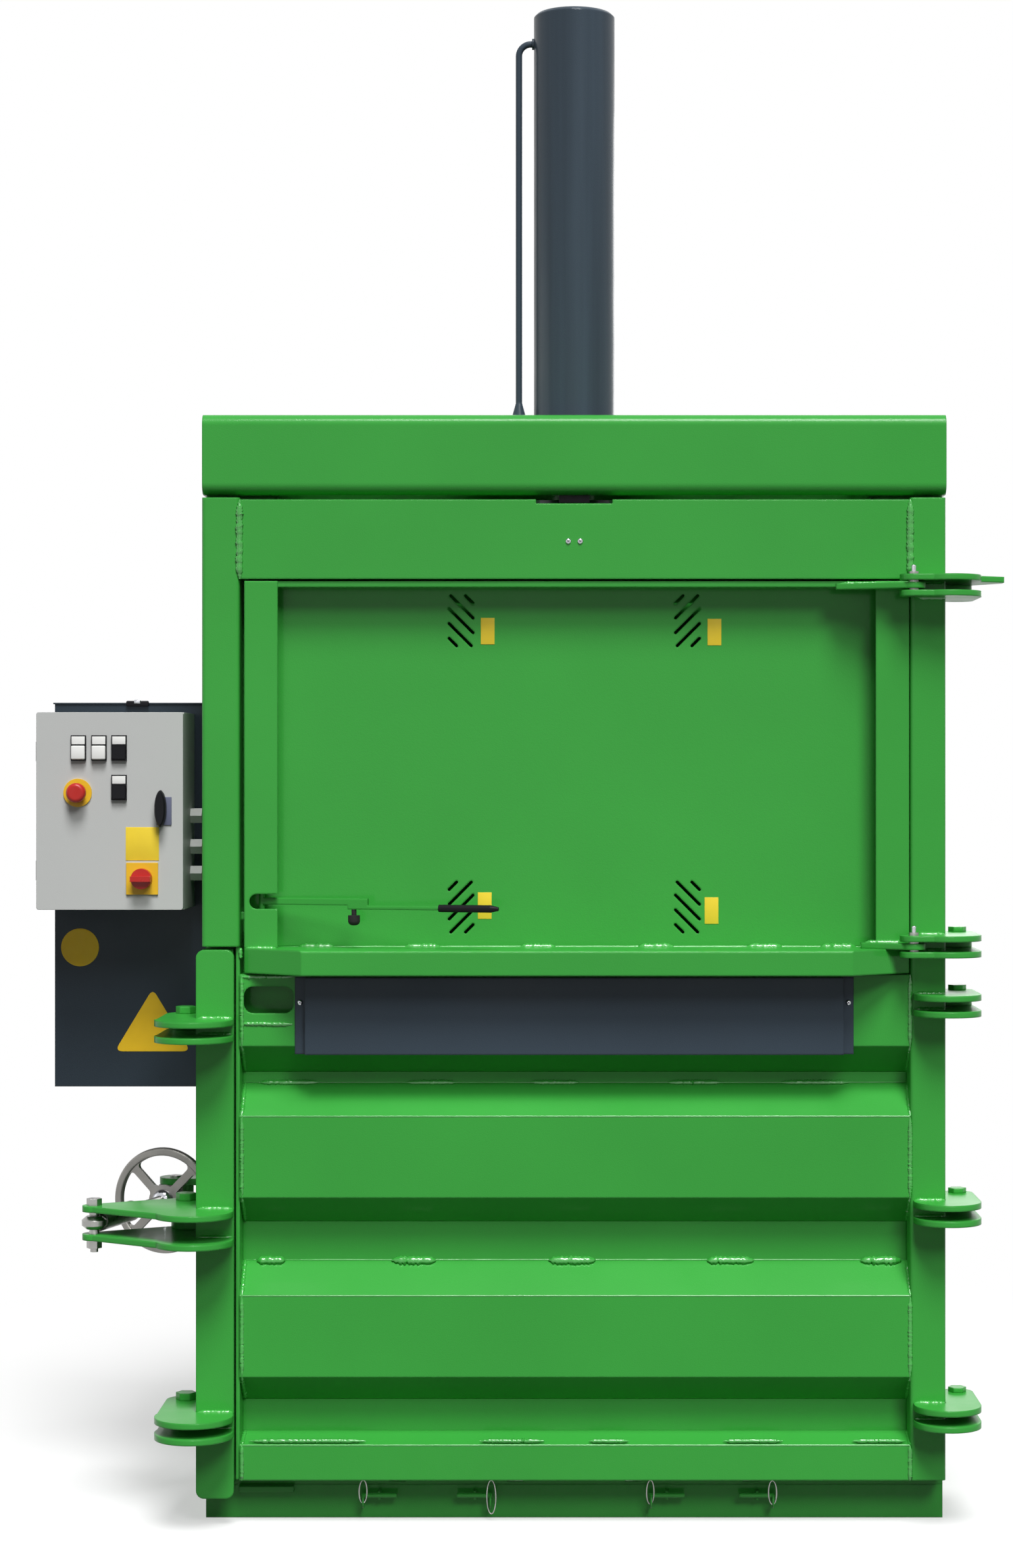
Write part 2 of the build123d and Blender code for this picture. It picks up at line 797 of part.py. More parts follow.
def hinge_lugs():
    """Five lugs on the right for the bale door and three on the left for the lock bar."""
    lugs = [lug(hinge_x, hinge_y, half_width, z, pair_gap, lug_round, pin_diameter) for z in pair_levels]
    for z, gap in zip(lock_levels, lock_gaps):
        lugs.append(lug(lock_x, lock_y, -half_width, z, gap, lug_round, lock_bolt))
    return lugs


def gate_left_stile():
    """Angle with a round-ended notch that the latch lever swings out of."""
    stile = block(gate_left, gate_left + gate_stile_width, face_y, face_y + gate_sheet,
                  gate_rail_high, gate_top)
    stile += block(gate_left, gate_left + gate_sheet, face_y, face_y + gate_depth, gate_rail_high, gate_top)
    right = gate_left + gate_stile_width
    round_x = right - lever_notch_length + lever_notch_height / 2
    notch = block(round_x, right + overrun, face_y - overrun, face_y + gate_sheet + running_gap,
                  latch_level - lever_notch_height / 2, latch_level + lever_notch_height / 2)
    round_end = Pos(round_x, face_y, latch_level) * Rot(90, 0, 0)
    notch += round_end * Cylinder(lever_notch_height / 2, 2 * (gate_sheet + running_gap))
    tongue_level = latch_level - tongue_drop
    window = block(gate_left - overrun, gate_left + gate_sheet, latch_y - keeper_depth,
                   face_y + gate_depth + overrun, tongue_level - tongue_height, tongue_level + tongue_height)
    return stile - notch - window


def gate_right_stile():
    stile = block(gate_right - gate_stile_width, gate_right, face_y, face_y + gate_sheet,
                  gate_rail_high, gate_top)
    return stile + block(gate_right - gate_sheet, gate_right, face_y, face_y + gate_depth,
                         gate_rail_high, gate_top)


def gate_top_rail():
    return block(gate_left + gate_sheet, gate_right - gate_sheet, face_y + gate_sheet,
                 face_y + gate_depth - gate_sheet, gate_top - gate_lip, gate_top)


def gate_bottom_rail():
    """Folded sill whose ends are bent back to the door, open below."""
    shoulder = gate_rail_taper
    outline = [(gate_left, face_y + gate_depth), (gate_left, face_y),
               (gate_left + shoulder, face_y - gate_rail_reach),
               (gate_right - shoulder, face_y - gate_rail_reach), (gate_right, face_y),
               (gate_right, face_y + gate_depth)]
    rail = plan_plate(outline, gate_rail_low, gate_rail_high - gate_rail_low)
    front = rail.faces().sort_by(Axis.Y)[0]
    rail = fillet(front.edges().group_by(Axis.Z)[-1], gate_sheet)
    t = gate_sheet
    hollow = [(gate_left + t, face_y + gate_depth - t), (gate_left + t, face_y + t),
              (gate_left + shoulder + t, face_y - gate_rail_reach + t),
              (gate_right - shoulder - t, face_y - gate_rail_reach + t), (gate_right - t, face_y + t),
              (gate_right - t, face_y + gate_depth - t)]
    return rail - plan_plate(hollow, gate_rail_low - overrun, gate_rail_high - gate_rail_low + overrun - 2 * t)


def gate_panel():
    """Recessed sheet with four groups of slanted slots."""
    y0 = face_y + gate_depth - gate_sheet
    panel = block(gate_left + gate_sheet, gate_right - gate_sheet, y0, y0 + gate_sheet,
                  gate_rail_high, gate_top)
    for side, z in [(s, z) for s in (-1, 1) for z in slot_levels]:
        lean = side if z == slot_levels[0] else -side
        for i in range(-slot_half_count, slot_half_count + 1):
            low = max(-slot_group_width / 2, i * slot_pitch - slot_group_height / 2)
            high = min(slot_group_width / 2, i * slot_pitch + slot_group_height / 2)
            middle = (low + high) / 2
            slot = Plane.XZ * Pos(side * slot_group_x - lean * middle, z + i * slot_pitch - middle)
            slot *= Rot(0, 0, lean * 45) * SlotOverall((high - low) * 2 ** 0.5, slot_width)
            panel -= Pos(0, y0, 0) * extrude(slot, 2 * gate_sheet, both=True)
    return panel


def gate_hinge_arms():
    """Two flat arms from the feed door to its hinge pins."""
    arms = []
    for level, length in zip(pair_levels, gate_arm_lengths):
        outline = make_face(Polyline((gate_right - length, face_y), (gate_right, face_y),
                                     (gate_pin_x + gate_arm_round, gate_pin_y),
                                     (gate_pin_x, gate_pin_y - gate_arm_round),
                                     (gate_right - length, face_y - plate_thickness), close=True))
        outline += Pos(gate_pin_x, gate_pin_y) * Circle(gate_arm_round)
        outline -= Pos(gate_pin_x, gate_pin_y) * Circle(gate_pin_diameter / 2 + pin_clearance)
        arms.append(extrude(Pos(0, 0, level - plate_thickness / 2) * outline, plate_thickness))
    return arms


def gate_hinge_pins():
    """Two pins held in the hinge plates, each with a grease nipple on top."""
    pins = []
    for level in pair_levels[:len(gate_arm_lengths)]:
        high = level + pair_gap / 2 + plate_thickness
        pin = post(gate_pin_x, gate_pin_y, level - pair_gap / 2 - plate_thickness,
                   high + plate_thickness / 2, gate_pin_diameter)
        pin += post(gate_pin_x, gate_pin_y, high, high + plate_thickness / 2 + nipple_height, nipple_diameter)
        pins.append(pin)
    return pins


def latch_bracket():
    """Two tabs inside the left stile that the latch rod turns in."""
    tabs = []
    for z0 in (latch_foot - latch_plate, latch_head):
        tab = block(gate_left + gate_sheet, latch_x + latch_tab_reach, face_y + gate_sheet,
                    face_y + gate_depth - gate_sheet, z0, z0 + latch_plate)
        tabs.append(tab - post(latch_x, latch_y, z0 - overrun, z0 + overrun, latch_rod_diameter + 2 * pin_clearance))
    return tabs


def at_latch(shape):
    """Turns a latch piece, drawn closed about the origin, to its rest angle on the rod."""
    return Pos(latch_x, latch_y, 0) * Rot(0, 0, -latch_rest_angle) * shape


def latch_lever():
    """Upright rod with the lever's two bars and the tongue that catches the keeper."""
    half = latch_bar_depth / 2
    bar_low_z = latch_level - latch_bar_height / 2
    lever = post(0, 0, latch_foot - latch_plate, latch_head + latch_plate, latch_rod_diameter)
    lever += block(0, latch_bar_length, -half, half, bar_low_z, latch_level + latch_bar_height / 2)
    lever += block(latch_arm_start, latch_arm_start + latch_arm_length, -half, half,
                   bar_low_z - latch_arm_height, bar_low_z)
    tongue_level = latch_level - tongue_drop
    tongue = block(0, tongue_reach, -tongue_width / 2, tongue_width / 2,
                   tongue_level - tongue_height / 2, tongue_level + tongue_height / 2)
    return at_latch(lever + Rot(0, 0, 180 - tongue_angle) * tongue)


def latch_grip():
    """Moulded grip on the end of the lever, tapered to a point."""
    level = latch_level - latch_bar_height / 2 - latch_arm_height / 2
    start = latch_arm_start + latch_arm_length
    radius = grip_diameter / 2
    outline = make_face(Polyline((0, 0), (0, radius), (grip_length - grip_point, radius),
                                 (grip_length, radius / 2), (grip_length, 0), close=True))
    grip = revolve(outline, Axis.X)
    return at_latch(Pos(start, 0, level) * grip)


def latch_buffer():
    """Rubber buffer on a short neck under the lever's thick bar."""
    top = latch_level - latch_bar_height / 2 - latch_arm_height
    x = latch_arm_start + buffer_diameter / 2
    low = top - buffer_neck_height
    knob = post(x, 0, low - buffer_height, low, buffer_diameter)
    knob = fillet(knob.edges().group_by(Axis.Z)[0], buffer_round)
    return at_latch(knob + post(x, 0, low, top, buffer_neck))


def latch_keeper():
    """Block on the bale door's left stile that the latch tongue turns behind."""
    level = latch_level - tongue_drop
    return block(stile_right, gate_left + keeper_lap, face_y + keeper_setback,
                 face_y + keeper_setback + keeper_depth, level - keeper_height / 2, level + keeper_height / 2)


def lock_bar():
    """Tall flat bar with rounded corners that laps over the door's edge when it is tightened."""
    middle = Pos((bar_left + bar_right) / 2, (bar_low + bar_high) / 2)
    outline = Plane.XZ * middle * RectangleRounded(bar_right - bar_left, bar_high - bar_low, bar_radius)
    return Pos(0, face_y, 0) * extrude(outline, bar_thickness)


def lock_outline(with_arm):
    """Plan of a lock bar plate, wrapped from the bar's face round to its pivot."""
    face = face_y - bar_thickness
    far = lock_x - lock_round
    inner = lock_x + lock_round
    start = Line((bar_right, face), (bar_right, face - plate_thickness))
    crown = ThreePointArc((bar_right, face - plate_thickness), (bar_left, face - lock_bulge),
                          (far, face - plate_thickness))
    side = Line((far, face - plate_thickness), (far, lock_y))
    end = ThreePointArc((far, lock_y), (lock_x, lock_y + lock_round), (inner, lock_y))
    back = Polyline((inner, lock_y), (bar_left, face_y), (bar_left, face), (bar_right, face))
    plate = make_face(start + crown + side + end + back)
    if with_arm:
        arm = make_face(Polyline((lock_x, lock_y + lock_round), (rod_x, rod_y + arm_round),
                                 (rod_x - arm_round, rod_y), (rod_x, rod_y - arm_round),
                                 (bar_left, face - lock_bulge), close=True))
        plate += arm + Pos(rod_x, rod_y) * Circle(arm_round)
        plate -= Pos(rod_x, rod_y) * Circle(rod_bolt / 2)
    return plate - Pos(lock_x, lock_y) * Circle(lock_bolt / 2)


def lock_bar_plates():
    """Three pairs of plates; the middle pair reaches out to the spindle's rod end."""
    plates = []
    for level, gap in zip(lock_levels, lock_gaps):
        outline = lock_outline(level == rod_level)
        for z0 in (level + gap / 2, level - gap / 2 - plate_thickness):
            plates.append(extrude(Pos(0, 0, z0) * outline, plate_thickness))
    return plates


def lock_bar_bolts():
    return [hinge_pin(lock_x, lock_y, z, gap, lock_bolt, lock_head, lock_head_height)
            for z, gap in zip(lock_levels, lock_gaps)]


def rod_end_bolt():
    """Zinc bolt and nut through the long plates, with the tapered spacers that centre the rod end's eye."""
    bolt = hinge_pin(rod_x, rod_y, rod_level, rod_gap, rod_bolt, rod_bolt_head, rod_bolt_head_height)
    low = rod_level - rod_gap / 2 - plate_thickness
    bolt += hex_head(rod_x, rod_y, low - rod_nut_height, rod_nut_height, rod_bolt_head)
    bolt += post(rod_x, rod_y, low - rod_nut_height - rod_bolt_end, low, rod_bolt)
    neck = eye_height / 2 + spacer_gap
    taper = rod_gap / 2 - neck
    spacer = Pos(0, 0, neck + taper / 2) * Cone(spacer_neck / 2, spacer_foot / 2, taper)
    for side in (spacer, mirror(spacer, Plane.XY)):
        bolt += Pos(rod_x, rod_y, rod_level) * side
    return bolt


def spindle_frame():
    """Plane at the trunnion with its normal along the spindle, towards the back."""
    turn = radians(spindle_angle)
    return Plane(origin=(trunnion_x, trunnion_y, rod_level), x_dir=(0, 0, 1), z_dir=(sin(turn), cos(turn), 0))


def rod_end():
    """Bevelled eye on the lock bar's bolt with the long sleeve that the spindle enters."""
    along = spindle_frame()
    profile = Polyline((0, -eye_height / 2), (eye_mouth / 2, -eye_height / 2), (eye_diameter / 2, -eye_rim_height / 2),
                       (eye_diameter / 2, eye_rim_height / 2), (eye_mouth / 2, eye_height / 2), (0, eye_height / 2),
                       close=True)
    eye = Pos(rod_x, rod_y, rod_level) * revolve(Plane.XZ * make_face(profile), Axis.Z)
    start = eye_diameter / 2 - sleeve_lap - rod_reach
    end = sleeve_length - rod_reach
    eye += along * Pos(0, 0, (start + end) / 2) * Cylinder(sleeve_diameter / 2, end - start)
    eye -= post(rod_x, rod_y, rod_level - eye_diameter, rod_level + eye_diameter, rod_bolt + 2 * pin_clearance)
    bore_start = eye_diameter / 2 - rod_reach
    bore = along * Pos(0, 0, bore_start + sleeve_length / 2)
    return eye - bore * Cylinder(spindle_diameter / 2 + spindle_slack, sleeve_length)


def trunnion_block():
    """Swivel block with a bore for the spindle and a pin above and below."""
    half = trunnion_size / 2
    block_solid = spindle_frame() * Box(trunnion_size, trunnion_size, trunnion_size)
    block_solid += post(trunnion_x, trunnion_y, rod_level - half - trunnion_pin_length,
                        rod_level + half + trunnion_pin_length, trunnion_pin)
    return block_solid - spindle_frame() * Cylinder(spindle_diameter / 2 + pin_clearance, 2 * trunnion_size)


def trunnion_bracket():
    """Two plates on the frame's left side that hold the swivel block's pins."""
    outline = make_face(Polyline((trunnion_x, trunnion_y - bracket_width / 2), (-half_width, trunnion_y - bracket_width / 2),
                                 (-half_width, trunnion_y + bracket_width / 2),
                                 (trunnion_x, trunnion_y + bracket_width / 2), close=True))
    outline += Pos(trunnion_x, trunnion_y) * Circle(bracket_width / 2)
    outline -= Pos(trunnion_x, trunnion_y) * Circle(trunnion_pin / 2 + pin_clearance)
    near = trunnion_size / 2 + running_gap
    return [extrude(Pos(0, 0, z0) * outline, bracket_plate)
            for z0 in (rod_level + near, rod_level - near - bracket_plate)]


def spindle():
    """Screw spindle with a collar each side of the swivel block."""
    length = spindle_front + spindle_tail
    screw = Pos(0, 0, (spindle_tail - spindle_front) / 2) * Cylinder(spindle_diameter / 2, length)
    for side in (-1, 1):
        z = side * (trunnion_size / 2 + running_gap + collar_length / 2)
        screw += Pos(0, 0, z) * Cylinder(collar_diameter / 2, collar_length)
    return spindle_frame() * screw


def handwheel():
    """Cast handwheel: flat spokes between rounded openings, a rounded rim and a domed hub."""
    inner = wheel_diameter / 2 - wheel_rim
    openings = Circle(inner) - Circle(wheel_boss / 2)
    for i in range(wheel_spokes):
        openings -= Rot(0, 0, 360 / wheel_spokes * (i + 0.5)) * Pos(inner / 2, 0) * Rectangle(inner, spoke_width)
    openings = fillet(openings.vertices(), spoke_round)
    web = extrude(Circle(inner + wheel_rim / 2) - openings, spoke_thickness / 2, both=True)
    rim = extrude(Circle(wheel_diameter / 2) - Circle(inner), wheel_rim_depth / 2, both=True)
    rim = fillet(rim.edges(), wheel_rim_round)
    hub = Cylinder(wheel_hub / 2, wheel_hub_length)
    hub = fillet(hub.edges().group_by(Axis.Z)[0], wheel_hub_round)
    wheel = web + rim + hub - Cylinder(spindle_diameter / 2, 2 * wheel_hub_length)
    return spindle_frame() * Pos(0, 0, -wheel_offset) * wheel


def hydraulic_cabinet():
    """Sheet cover for the hydraulic unit, open towards the frame, with a lip round its top."""
    y1 = box_back_y + cabinet_depth
    t = cabinet_sheet
    shell = block(cabinet_left, -half_width, box_back_y, y1, cabinet_low, cabinet_high)
    shell -= block(cabinet_left + t, -half_width + overrun, box_back_y + t, y1 - t,
                   cabinet_low + t, cabinet_high - t)
    lid = block(cabinet_left - t, -half_width, box_back_y - t, y1 + t, cabinet_high, cabinet_high + t)
    return shell + lid


def oil_tank():
    """Oil tank on the cabinet's floor."""
    m = tank_margin
    floor = cabinet_low + cabinet_sheet
    tank = block(cabinet_left + m, -half_width - m, box_back_y + m, box_back_y + cabinet_depth - m,
                 floor, floor + tank_height)
    return fillet(tank.edges().filter_by(Axis.Z), stile_radius)


def pump_motor():
    """Upright electric motor with its pump flange, on the tank."""
    x = (cabinet_left - half_width) / 2
    y = box_back_y + cabinet_depth / 2
    low = cabinet_low + cabinet_sheet + tank_height
    motor = post(x, y, low, low + flange_thickness, motor_diameter + flange_thickness)
    return motor + post(x, y, low, low + motor_length, motor_diameter)


def control_box():
    """Control box, open at the front, with a lip that the door's catch turns behind."""
    y0 = box_face_y + box_door_depth + box_gap
    t = box_wall
    shell = block(box_left, box_right, y0, box_back_y, box_low, box_high)
    shell -= block(box_left + t, box_right - t, y0 - overrun, box_back_y - t, box_low + t, box_high - t)
    shell += block(box_right - t - box_lip, box_right - t, y0, y0 + t, box_low + t, box_high - t)
    for z in gland_levels:
        hole = Pos(box_right, face_y + gland_setback, z) * Rot(0, 90, 0)
        shell -= hole * Cylinder(gland_hole / 2 + mount_gap, overrun)
    for knuckle in door_knuckles(knuckle_diameter + 2 * mount_gap, running_gap):
        shell -= knuckle
    return shell


def door_knuckles(diameter, end_gap):
    """Two upright hinge barrels on the control door's left edge."""
    y = box_face_y + box_door_depth
    starts = (box_low + knuckle_inset, box_high - knuckle_inset - knuckle_length)
    return [post(box_left, y, z0 - end_gap, z0 + knuckle_length + end_gap, diameter) for z0 in starts]


def control_gear():
    """Mounting plate with a row of switchgear inside the control box."""
    m = box_lip + box_wall
    back = box_back_y - box_wall
    plate = block(box_left + m, box_right - m, back - gear_plate, back, box_low + m, box_high - m)
    pitch = (box_width - 2 * m) / gear_count
    middle = (box_low + box_high) / 2
    for i in range(gear_count):
        x0 = box_left + m + i * pitch + gear_plate
        plate += block(x0, x0 + pitch - 2 * gear_plate, back - gear_plate - gear_depth, back - gear_plate,
                       middle, middle + gear_depth + box_lip)
    return plate


def control_door():
    """Shallow door pan with the holes for everything mounted on it."""
    t = box_wall
    middle = Pos((box_left + box_right) / 2, (box_low + box_high) / 2)
    outline = Plane.XZ * middle * RectangleRounded(box_right - box_left, box_high - box_low, box_radius)
    pan = Pos(0, box_face_y + box_door_depth, 0) * extrude(outline, box_door_depth)
    pan -= block(box_left + t, box_right - t, box_face_y + t, box_face_y + box_door_depth + overrun,
                 box_low + t, box_high - t)
    for x, z, diameter in ((stop_x, stop_z, stop_stem), (handle_x, handle_z, handle_stem)):
        pan -= stud(x, box_face_y + box_door_depth, z, diameter + 2 * mount_gap, 2 * box_door_depth)
    return pan + door_knuckles(knuckle_diameter, 0)


def switch_plates():
    """Round collar under the stop button and square plate under the main switch."""
    collar = stud(stop_x, box_face_y, stop_z, stop_collar, stop_collar_depth)
    collar -= stud(stop_x, box_face_y + overrun, stop_z, stop_stem + 2 * mount_gap, 2 * overrun)
    half = switch_plate / 2
    plate = block(switch_x - half, switch_x + half, box_face_y - switch_plate_depth, box_face_y,
                  switch_z - half, switch_z + half)
    return [collar, plate]


def bezel(x, z):
    half = lamp_width / 2
    return block(x - half, x + half, box_face_y - lamp_depth, box_face_y, z - lamp_height / 2, z + lamp_height / 2)


def button_bezels():
    """Frames of the two push buttons, with square openings."""
    frames = []
    for x, z in button_places:
        half = button_size / 2 + mount_gap
        middle = z - lens_drop
        frames.append(bezel(x, z) - block(x - half, x + half, box_face_y - overrun, box_face_y + overrun,
                                          middle - half, middle + half))
    return frames


def indicator_lamps():
    """Two lamps with a raised square lens."""
    lamps = []
    for x, z in lamp_places:
        half = lamp_lens / 2
        middle = z - lens_drop
        lens = block(x - half, x + half, box_face_y - lamp_depth - lamp_lens_depth, box_face_y - lamp_depth,
                     middle - half, middle + half)
        lamps.append(bezel(x, z) + lens)
    return lamps


def push_button(place):
    """Square button that travels into its bezel."""
    x, z = place[0], place[1] - lens_drop
    half = button_size / 2
    y1 = box_face_y - button_travel - running_gap
    return block(x - half, x + half, y1 - button_depth, y1, z - half, z + half)


def stop_button():
    """Mushroom head on a stem that runs through the collar and the door."""
    y1 = box_face_y + box_wall
    stem_length = stop_stem_depth + box_wall
    button = stud(stop_x, y1, stop_z, stop_stem, stem_length)
    head = stud(stop_x, y1 - stem_length, stop_z, stop_head, stop_head_depth)
    return button + fillet(head.edges().group_by(Axis.Y)[0], stop_head_depth / 2)


def swing_handle():
    """Upright wing handle with its stem and the catch behind the door."""
    outline = Plane.XZ * Pos(handle_x, handle_z) * Rot(0, 0, 90) * SlotOverall(handle_height, handle_width)
    wing = Pos(0, box_face_y - handle_stem_depth, 0) * extrude(outline, handle_depth)
    catch_y = box_face_y + box_door_depth + box_gap + box_wall + cam_thickness / 2
    stem = stud(handle_x, catch_y, handle_z, handle_stem, catch_y - box_face_y + handle_stem_depth)
    catch = block(handle_x - cam_width / 2, handle_x + cam_width / 2, catch_y, catch_y + cam_thickness,
                  handle_z - cam_width / 2, handle_z + cam_length)
    return wing + stem + catch


def main_switch():
    """Round knob with a grip bar across it."""
    y1 = box_face_y - switch_plate_depth
    knob = stud(switch_x, y1, switch_z, switch_knob, switch_knob_depth)
    y2 = y1 - switch_knob_depth
    half = switch_grip / 2
    reach = switch_knob / 2 - running_gap
    return knob + block(switch_x - reach, switch_x + reach, y2 - switch_grip_depth, y2,
                        switch_z - half, switch_z + half)


def cable_glands():
    """Three hexagon glands on the control box's right side."""
    glands = []
    for z in gland_levels:
        at = Plane(origin=(box_right, face_y + gland_setback, z), x_dir=(0, 1, 0), z_dir=(1, 0, 0))
        gland = extrude(at * RegularPolygon(gland_hex / 2, 6, major_radius=False), gland_reach)
        glands.append(gland + at * Cylinder(gland_hole / 2, 2 * box_wall))
    return glands


def strap_hooks():
    """Four short rods in front of the base, each on a tab, with a wire ring at one end."""
    hooks = []
    y = face_y + hook_setback
    for i, x in enumerate(hook_places):
        side = -1 if i % 2 == 0 else 1
        rod = Pos(x, y, hook_level) * Rot(0, 90, 0) * Cylinder(hook_diameter / 2, hook_length)
        ring = Pos(x + side * (hook_length / 2 - loop_wire), y, hook_level - loop_diameter / 2 + loop_wire)
        rod += ring * Rot(0, 90, 0) * Torus((loop_diameter - loop_wire) / 2, loop_wire / 2)
        tab = block(x - hook_tab / 2, x + hook_tab / 2, y, front_y,
                    hook_level - hook_tab_height / 2, hook_level + hook_tab_height / 2)
        hooks.append(rod + tab)
    return hooks


def door_switch():
    """Safety switch under the front beam, in the header's notch."""
    y0 = face_y + beam_setback + beam_radius
    half = switch_body_width / 2
    return block(-half, half, y0, y0 + switch_body_depth, beam_bottom - switch_body_height, beam_bottom)


front_beam_y = face_y + beam_setback
rear_beam_y = back_y - beam_depth
nodes = {
    "base_frame": base_frame(),
    "floor_plate": floor_plate(),
    "left_wall": mirror(side_wall(), Plane.YZ),
    "right_wall": side_wall(),
    "lock_jamb": lock_jamb(),
    "back_wall": back_wall(),
    "top_beams": [beam(front_beam_y), beam(rear_beam_y)],
    "crosshead": crosshead(),
    "cylinder_barrel": cylinder_barrel(),
    "cylinder_gland": cylinder_gland(),
    "hydraulic_pipe": hydraulic_pipe(),
    "piston_rod": piston_rod(),
    "press_platen": platen(),
    "door_left_stile": door_left_stile() + [latch_keeper()],
    "door_right_stile": door_right_stile(),
    "door_header": door_header(),
    "door_mid_rail": door_mid_rail(),
    "door_ribs": door_ribs(),
    "door_skin": door_skin(),
    "cover_plate": cover_plate(),
    "door_screws": door_screws(),
    "door_hinge_plates": door_hinge_plates(),
    "door_hinge_pins": door_hinge_pins(),
    "hinge_lugs": hinge_lugs(),
    "feed_door_left_stile": gate_left_stile() + latch_bracket(),
    "feed_door_right_stile": gate_right_stile(),
    "feed_door_top_rail": gate_top_rail(),
    "feed_door_bottom_rail": gate_bottom_rail(),
    "feed_door_panel": gate_panel(),
    "feed_door_arms": gate_hinge_arms(),
    "feed_door_pins": gate_hinge_pins(),
    "latch_lever": latch_lever(),
    "latch_grip": latch_grip(),
    "latch_buffer": latch_buffer(),
    "lock_bar": lock_bar(),
    "lock_bar_plates": lock_bar_plates(),
    "lock_bar_bolts": lock_bar_bolts(),
    "rod_end_bolt": rod_end_bolt(),
    "rod_end": rod_end(),
    "trunnion_block": trunnion_block(),
    "trunnion_bracket": trunnion_bracket(),
    "spindle": spindle(),
    "handwheel": handwheel(),
    "hydraulic_cabinet": hydraulic_cabinet(),
    "oil_tank": oil_tank(),
    "pump_motor": pump_motor(),
    "control_box": control_box(),
    "control_gear": control_gear(),
    "control_door": control_door(),
    "switch_plates": switch_plates(),
    "button_bezels": button_bezels(),
    "indicator_lamps": indicator_lamps(),
    "up_button": push_button(button_places[0]),
    "down_button": push_button(button_places[1]),
    "stop_button": stop_button(),
    "swing_handle": swing_handle(),
    "main_switch": main_switch(),
    "cable_glands": cable_glands(),
    "strap_hooks": strap_hooks(),
    "door_switch": door_switch(),
}

os.makedirs("parts", exist_ok=True)
for name, shape in nodes.items():
    if isinstance(shape, list):
        shape = Compound(children=shape)
    export_step(shape, f"parts/{name}.step")
print(len(nodes), "nodes; spindle angle", round(spindle_angle, 2), "rod reach", round(rod_reach, 1))
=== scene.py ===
import bpy
import bmesh
import json
import math
import random
from mathutils import Matrix, Vector


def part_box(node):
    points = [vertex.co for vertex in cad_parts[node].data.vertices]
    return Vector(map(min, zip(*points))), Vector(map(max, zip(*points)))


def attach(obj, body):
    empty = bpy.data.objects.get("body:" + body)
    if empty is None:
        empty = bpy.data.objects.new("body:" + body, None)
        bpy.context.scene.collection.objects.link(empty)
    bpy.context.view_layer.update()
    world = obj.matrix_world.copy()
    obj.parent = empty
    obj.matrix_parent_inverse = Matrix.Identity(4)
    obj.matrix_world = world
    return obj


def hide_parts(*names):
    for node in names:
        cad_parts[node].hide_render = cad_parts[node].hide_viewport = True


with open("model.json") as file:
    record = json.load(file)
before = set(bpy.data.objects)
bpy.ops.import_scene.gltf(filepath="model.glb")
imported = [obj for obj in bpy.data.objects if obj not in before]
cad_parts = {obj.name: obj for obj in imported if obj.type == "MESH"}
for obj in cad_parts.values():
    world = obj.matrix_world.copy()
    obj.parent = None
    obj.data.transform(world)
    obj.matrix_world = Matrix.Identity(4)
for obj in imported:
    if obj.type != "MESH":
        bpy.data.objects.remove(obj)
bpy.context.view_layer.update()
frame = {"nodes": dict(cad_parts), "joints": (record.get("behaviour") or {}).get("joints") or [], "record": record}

nodes = frame["nodes"]

# Camera: the photo's frame in pixels and its viewing place in metres
frame_height_px = 2383
focal_px = 4532
principal_offset_px = (-103, -6.5)
camera_height = 1.502
camera_distance = 6.0
sensor_height_mm = 36.0

# Places read from the CAD frame, in metres
face_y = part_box("door_right_stile")[0].y
stile_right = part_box("door_mid_rail")[0].x
right_stile_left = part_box("door_mid_rail")[1].x
skin_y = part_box("door_skin")[0].y
box_face_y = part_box("control_door")[0].y

# Ways that a bead or a plate faces
forward = Vector((0, -1, 0))
upward = Vector((0, -0.7, 0.7))
downward = Vector((0, -0.7, -0.7))

# Noise: an even stretch, and the values at which a ramp starts, is half way and ends
no_stretch = (1.0, 1.0, 1.0)
noise_low, noise_middle, noise_high = 0.3, 0.5, 0.7

# Fine relief of a surface, and the samples of its rounded edges
relief_strength = 0.35
relief_detail = 2.0
edge_samples = 4

# Weld beads: size and slope of their ends, ripple, unevenness, drift off the line, and width over height
bead_end_size = 0.25
bead_end_slope = 6
bead_ripple = 0.12
bead_unevenness = 0.16
bead_drift = 0.15
bead_flatness = 1.25
weld_smooth_angle = 70.0


# Node tools

def new_material(name, colour, roughness, metallic=0.0):
    """A material with its Principled shader, ready for detail."""
    material = bpy.data.materials.new(name)
    material.use_nodes = True
    shader = material.node_tree.nodes["Principled BSDF"]
    shader.inputs["Base Color"].default_value = (*colour, 1.0)
    shader.inputs["Roughness"].default_value = roughness
    shader.inputs["Metallic"].default_value = metallic
    return material, shader


def noise(material, scale, detail=4.0, stretch=no_stretch):
    """Noise in the object's own coordinates."""
    tree = material.node_tree
    coordinates = tree.nodes.new("ShaderNodeTexCoord")
    mapping = tree.nodes.new("ShaderNodeMapping")
    mapping.inputs["Scale"].default_value = stretch
    texture = tree.nodes.new("ShaderNodeTexNoise")
    texture.inputs["Scale"].default_value = scale
    texture.inputs["Detail"].default_value = detail
    tree.links.new(coordinates.outputs["Object"], mapping.inputs["Vector"])
    tree.links.new(mapping.outputs["Vector"], texture.inputs["Vector"])
    return texture.outputs["Fac"]


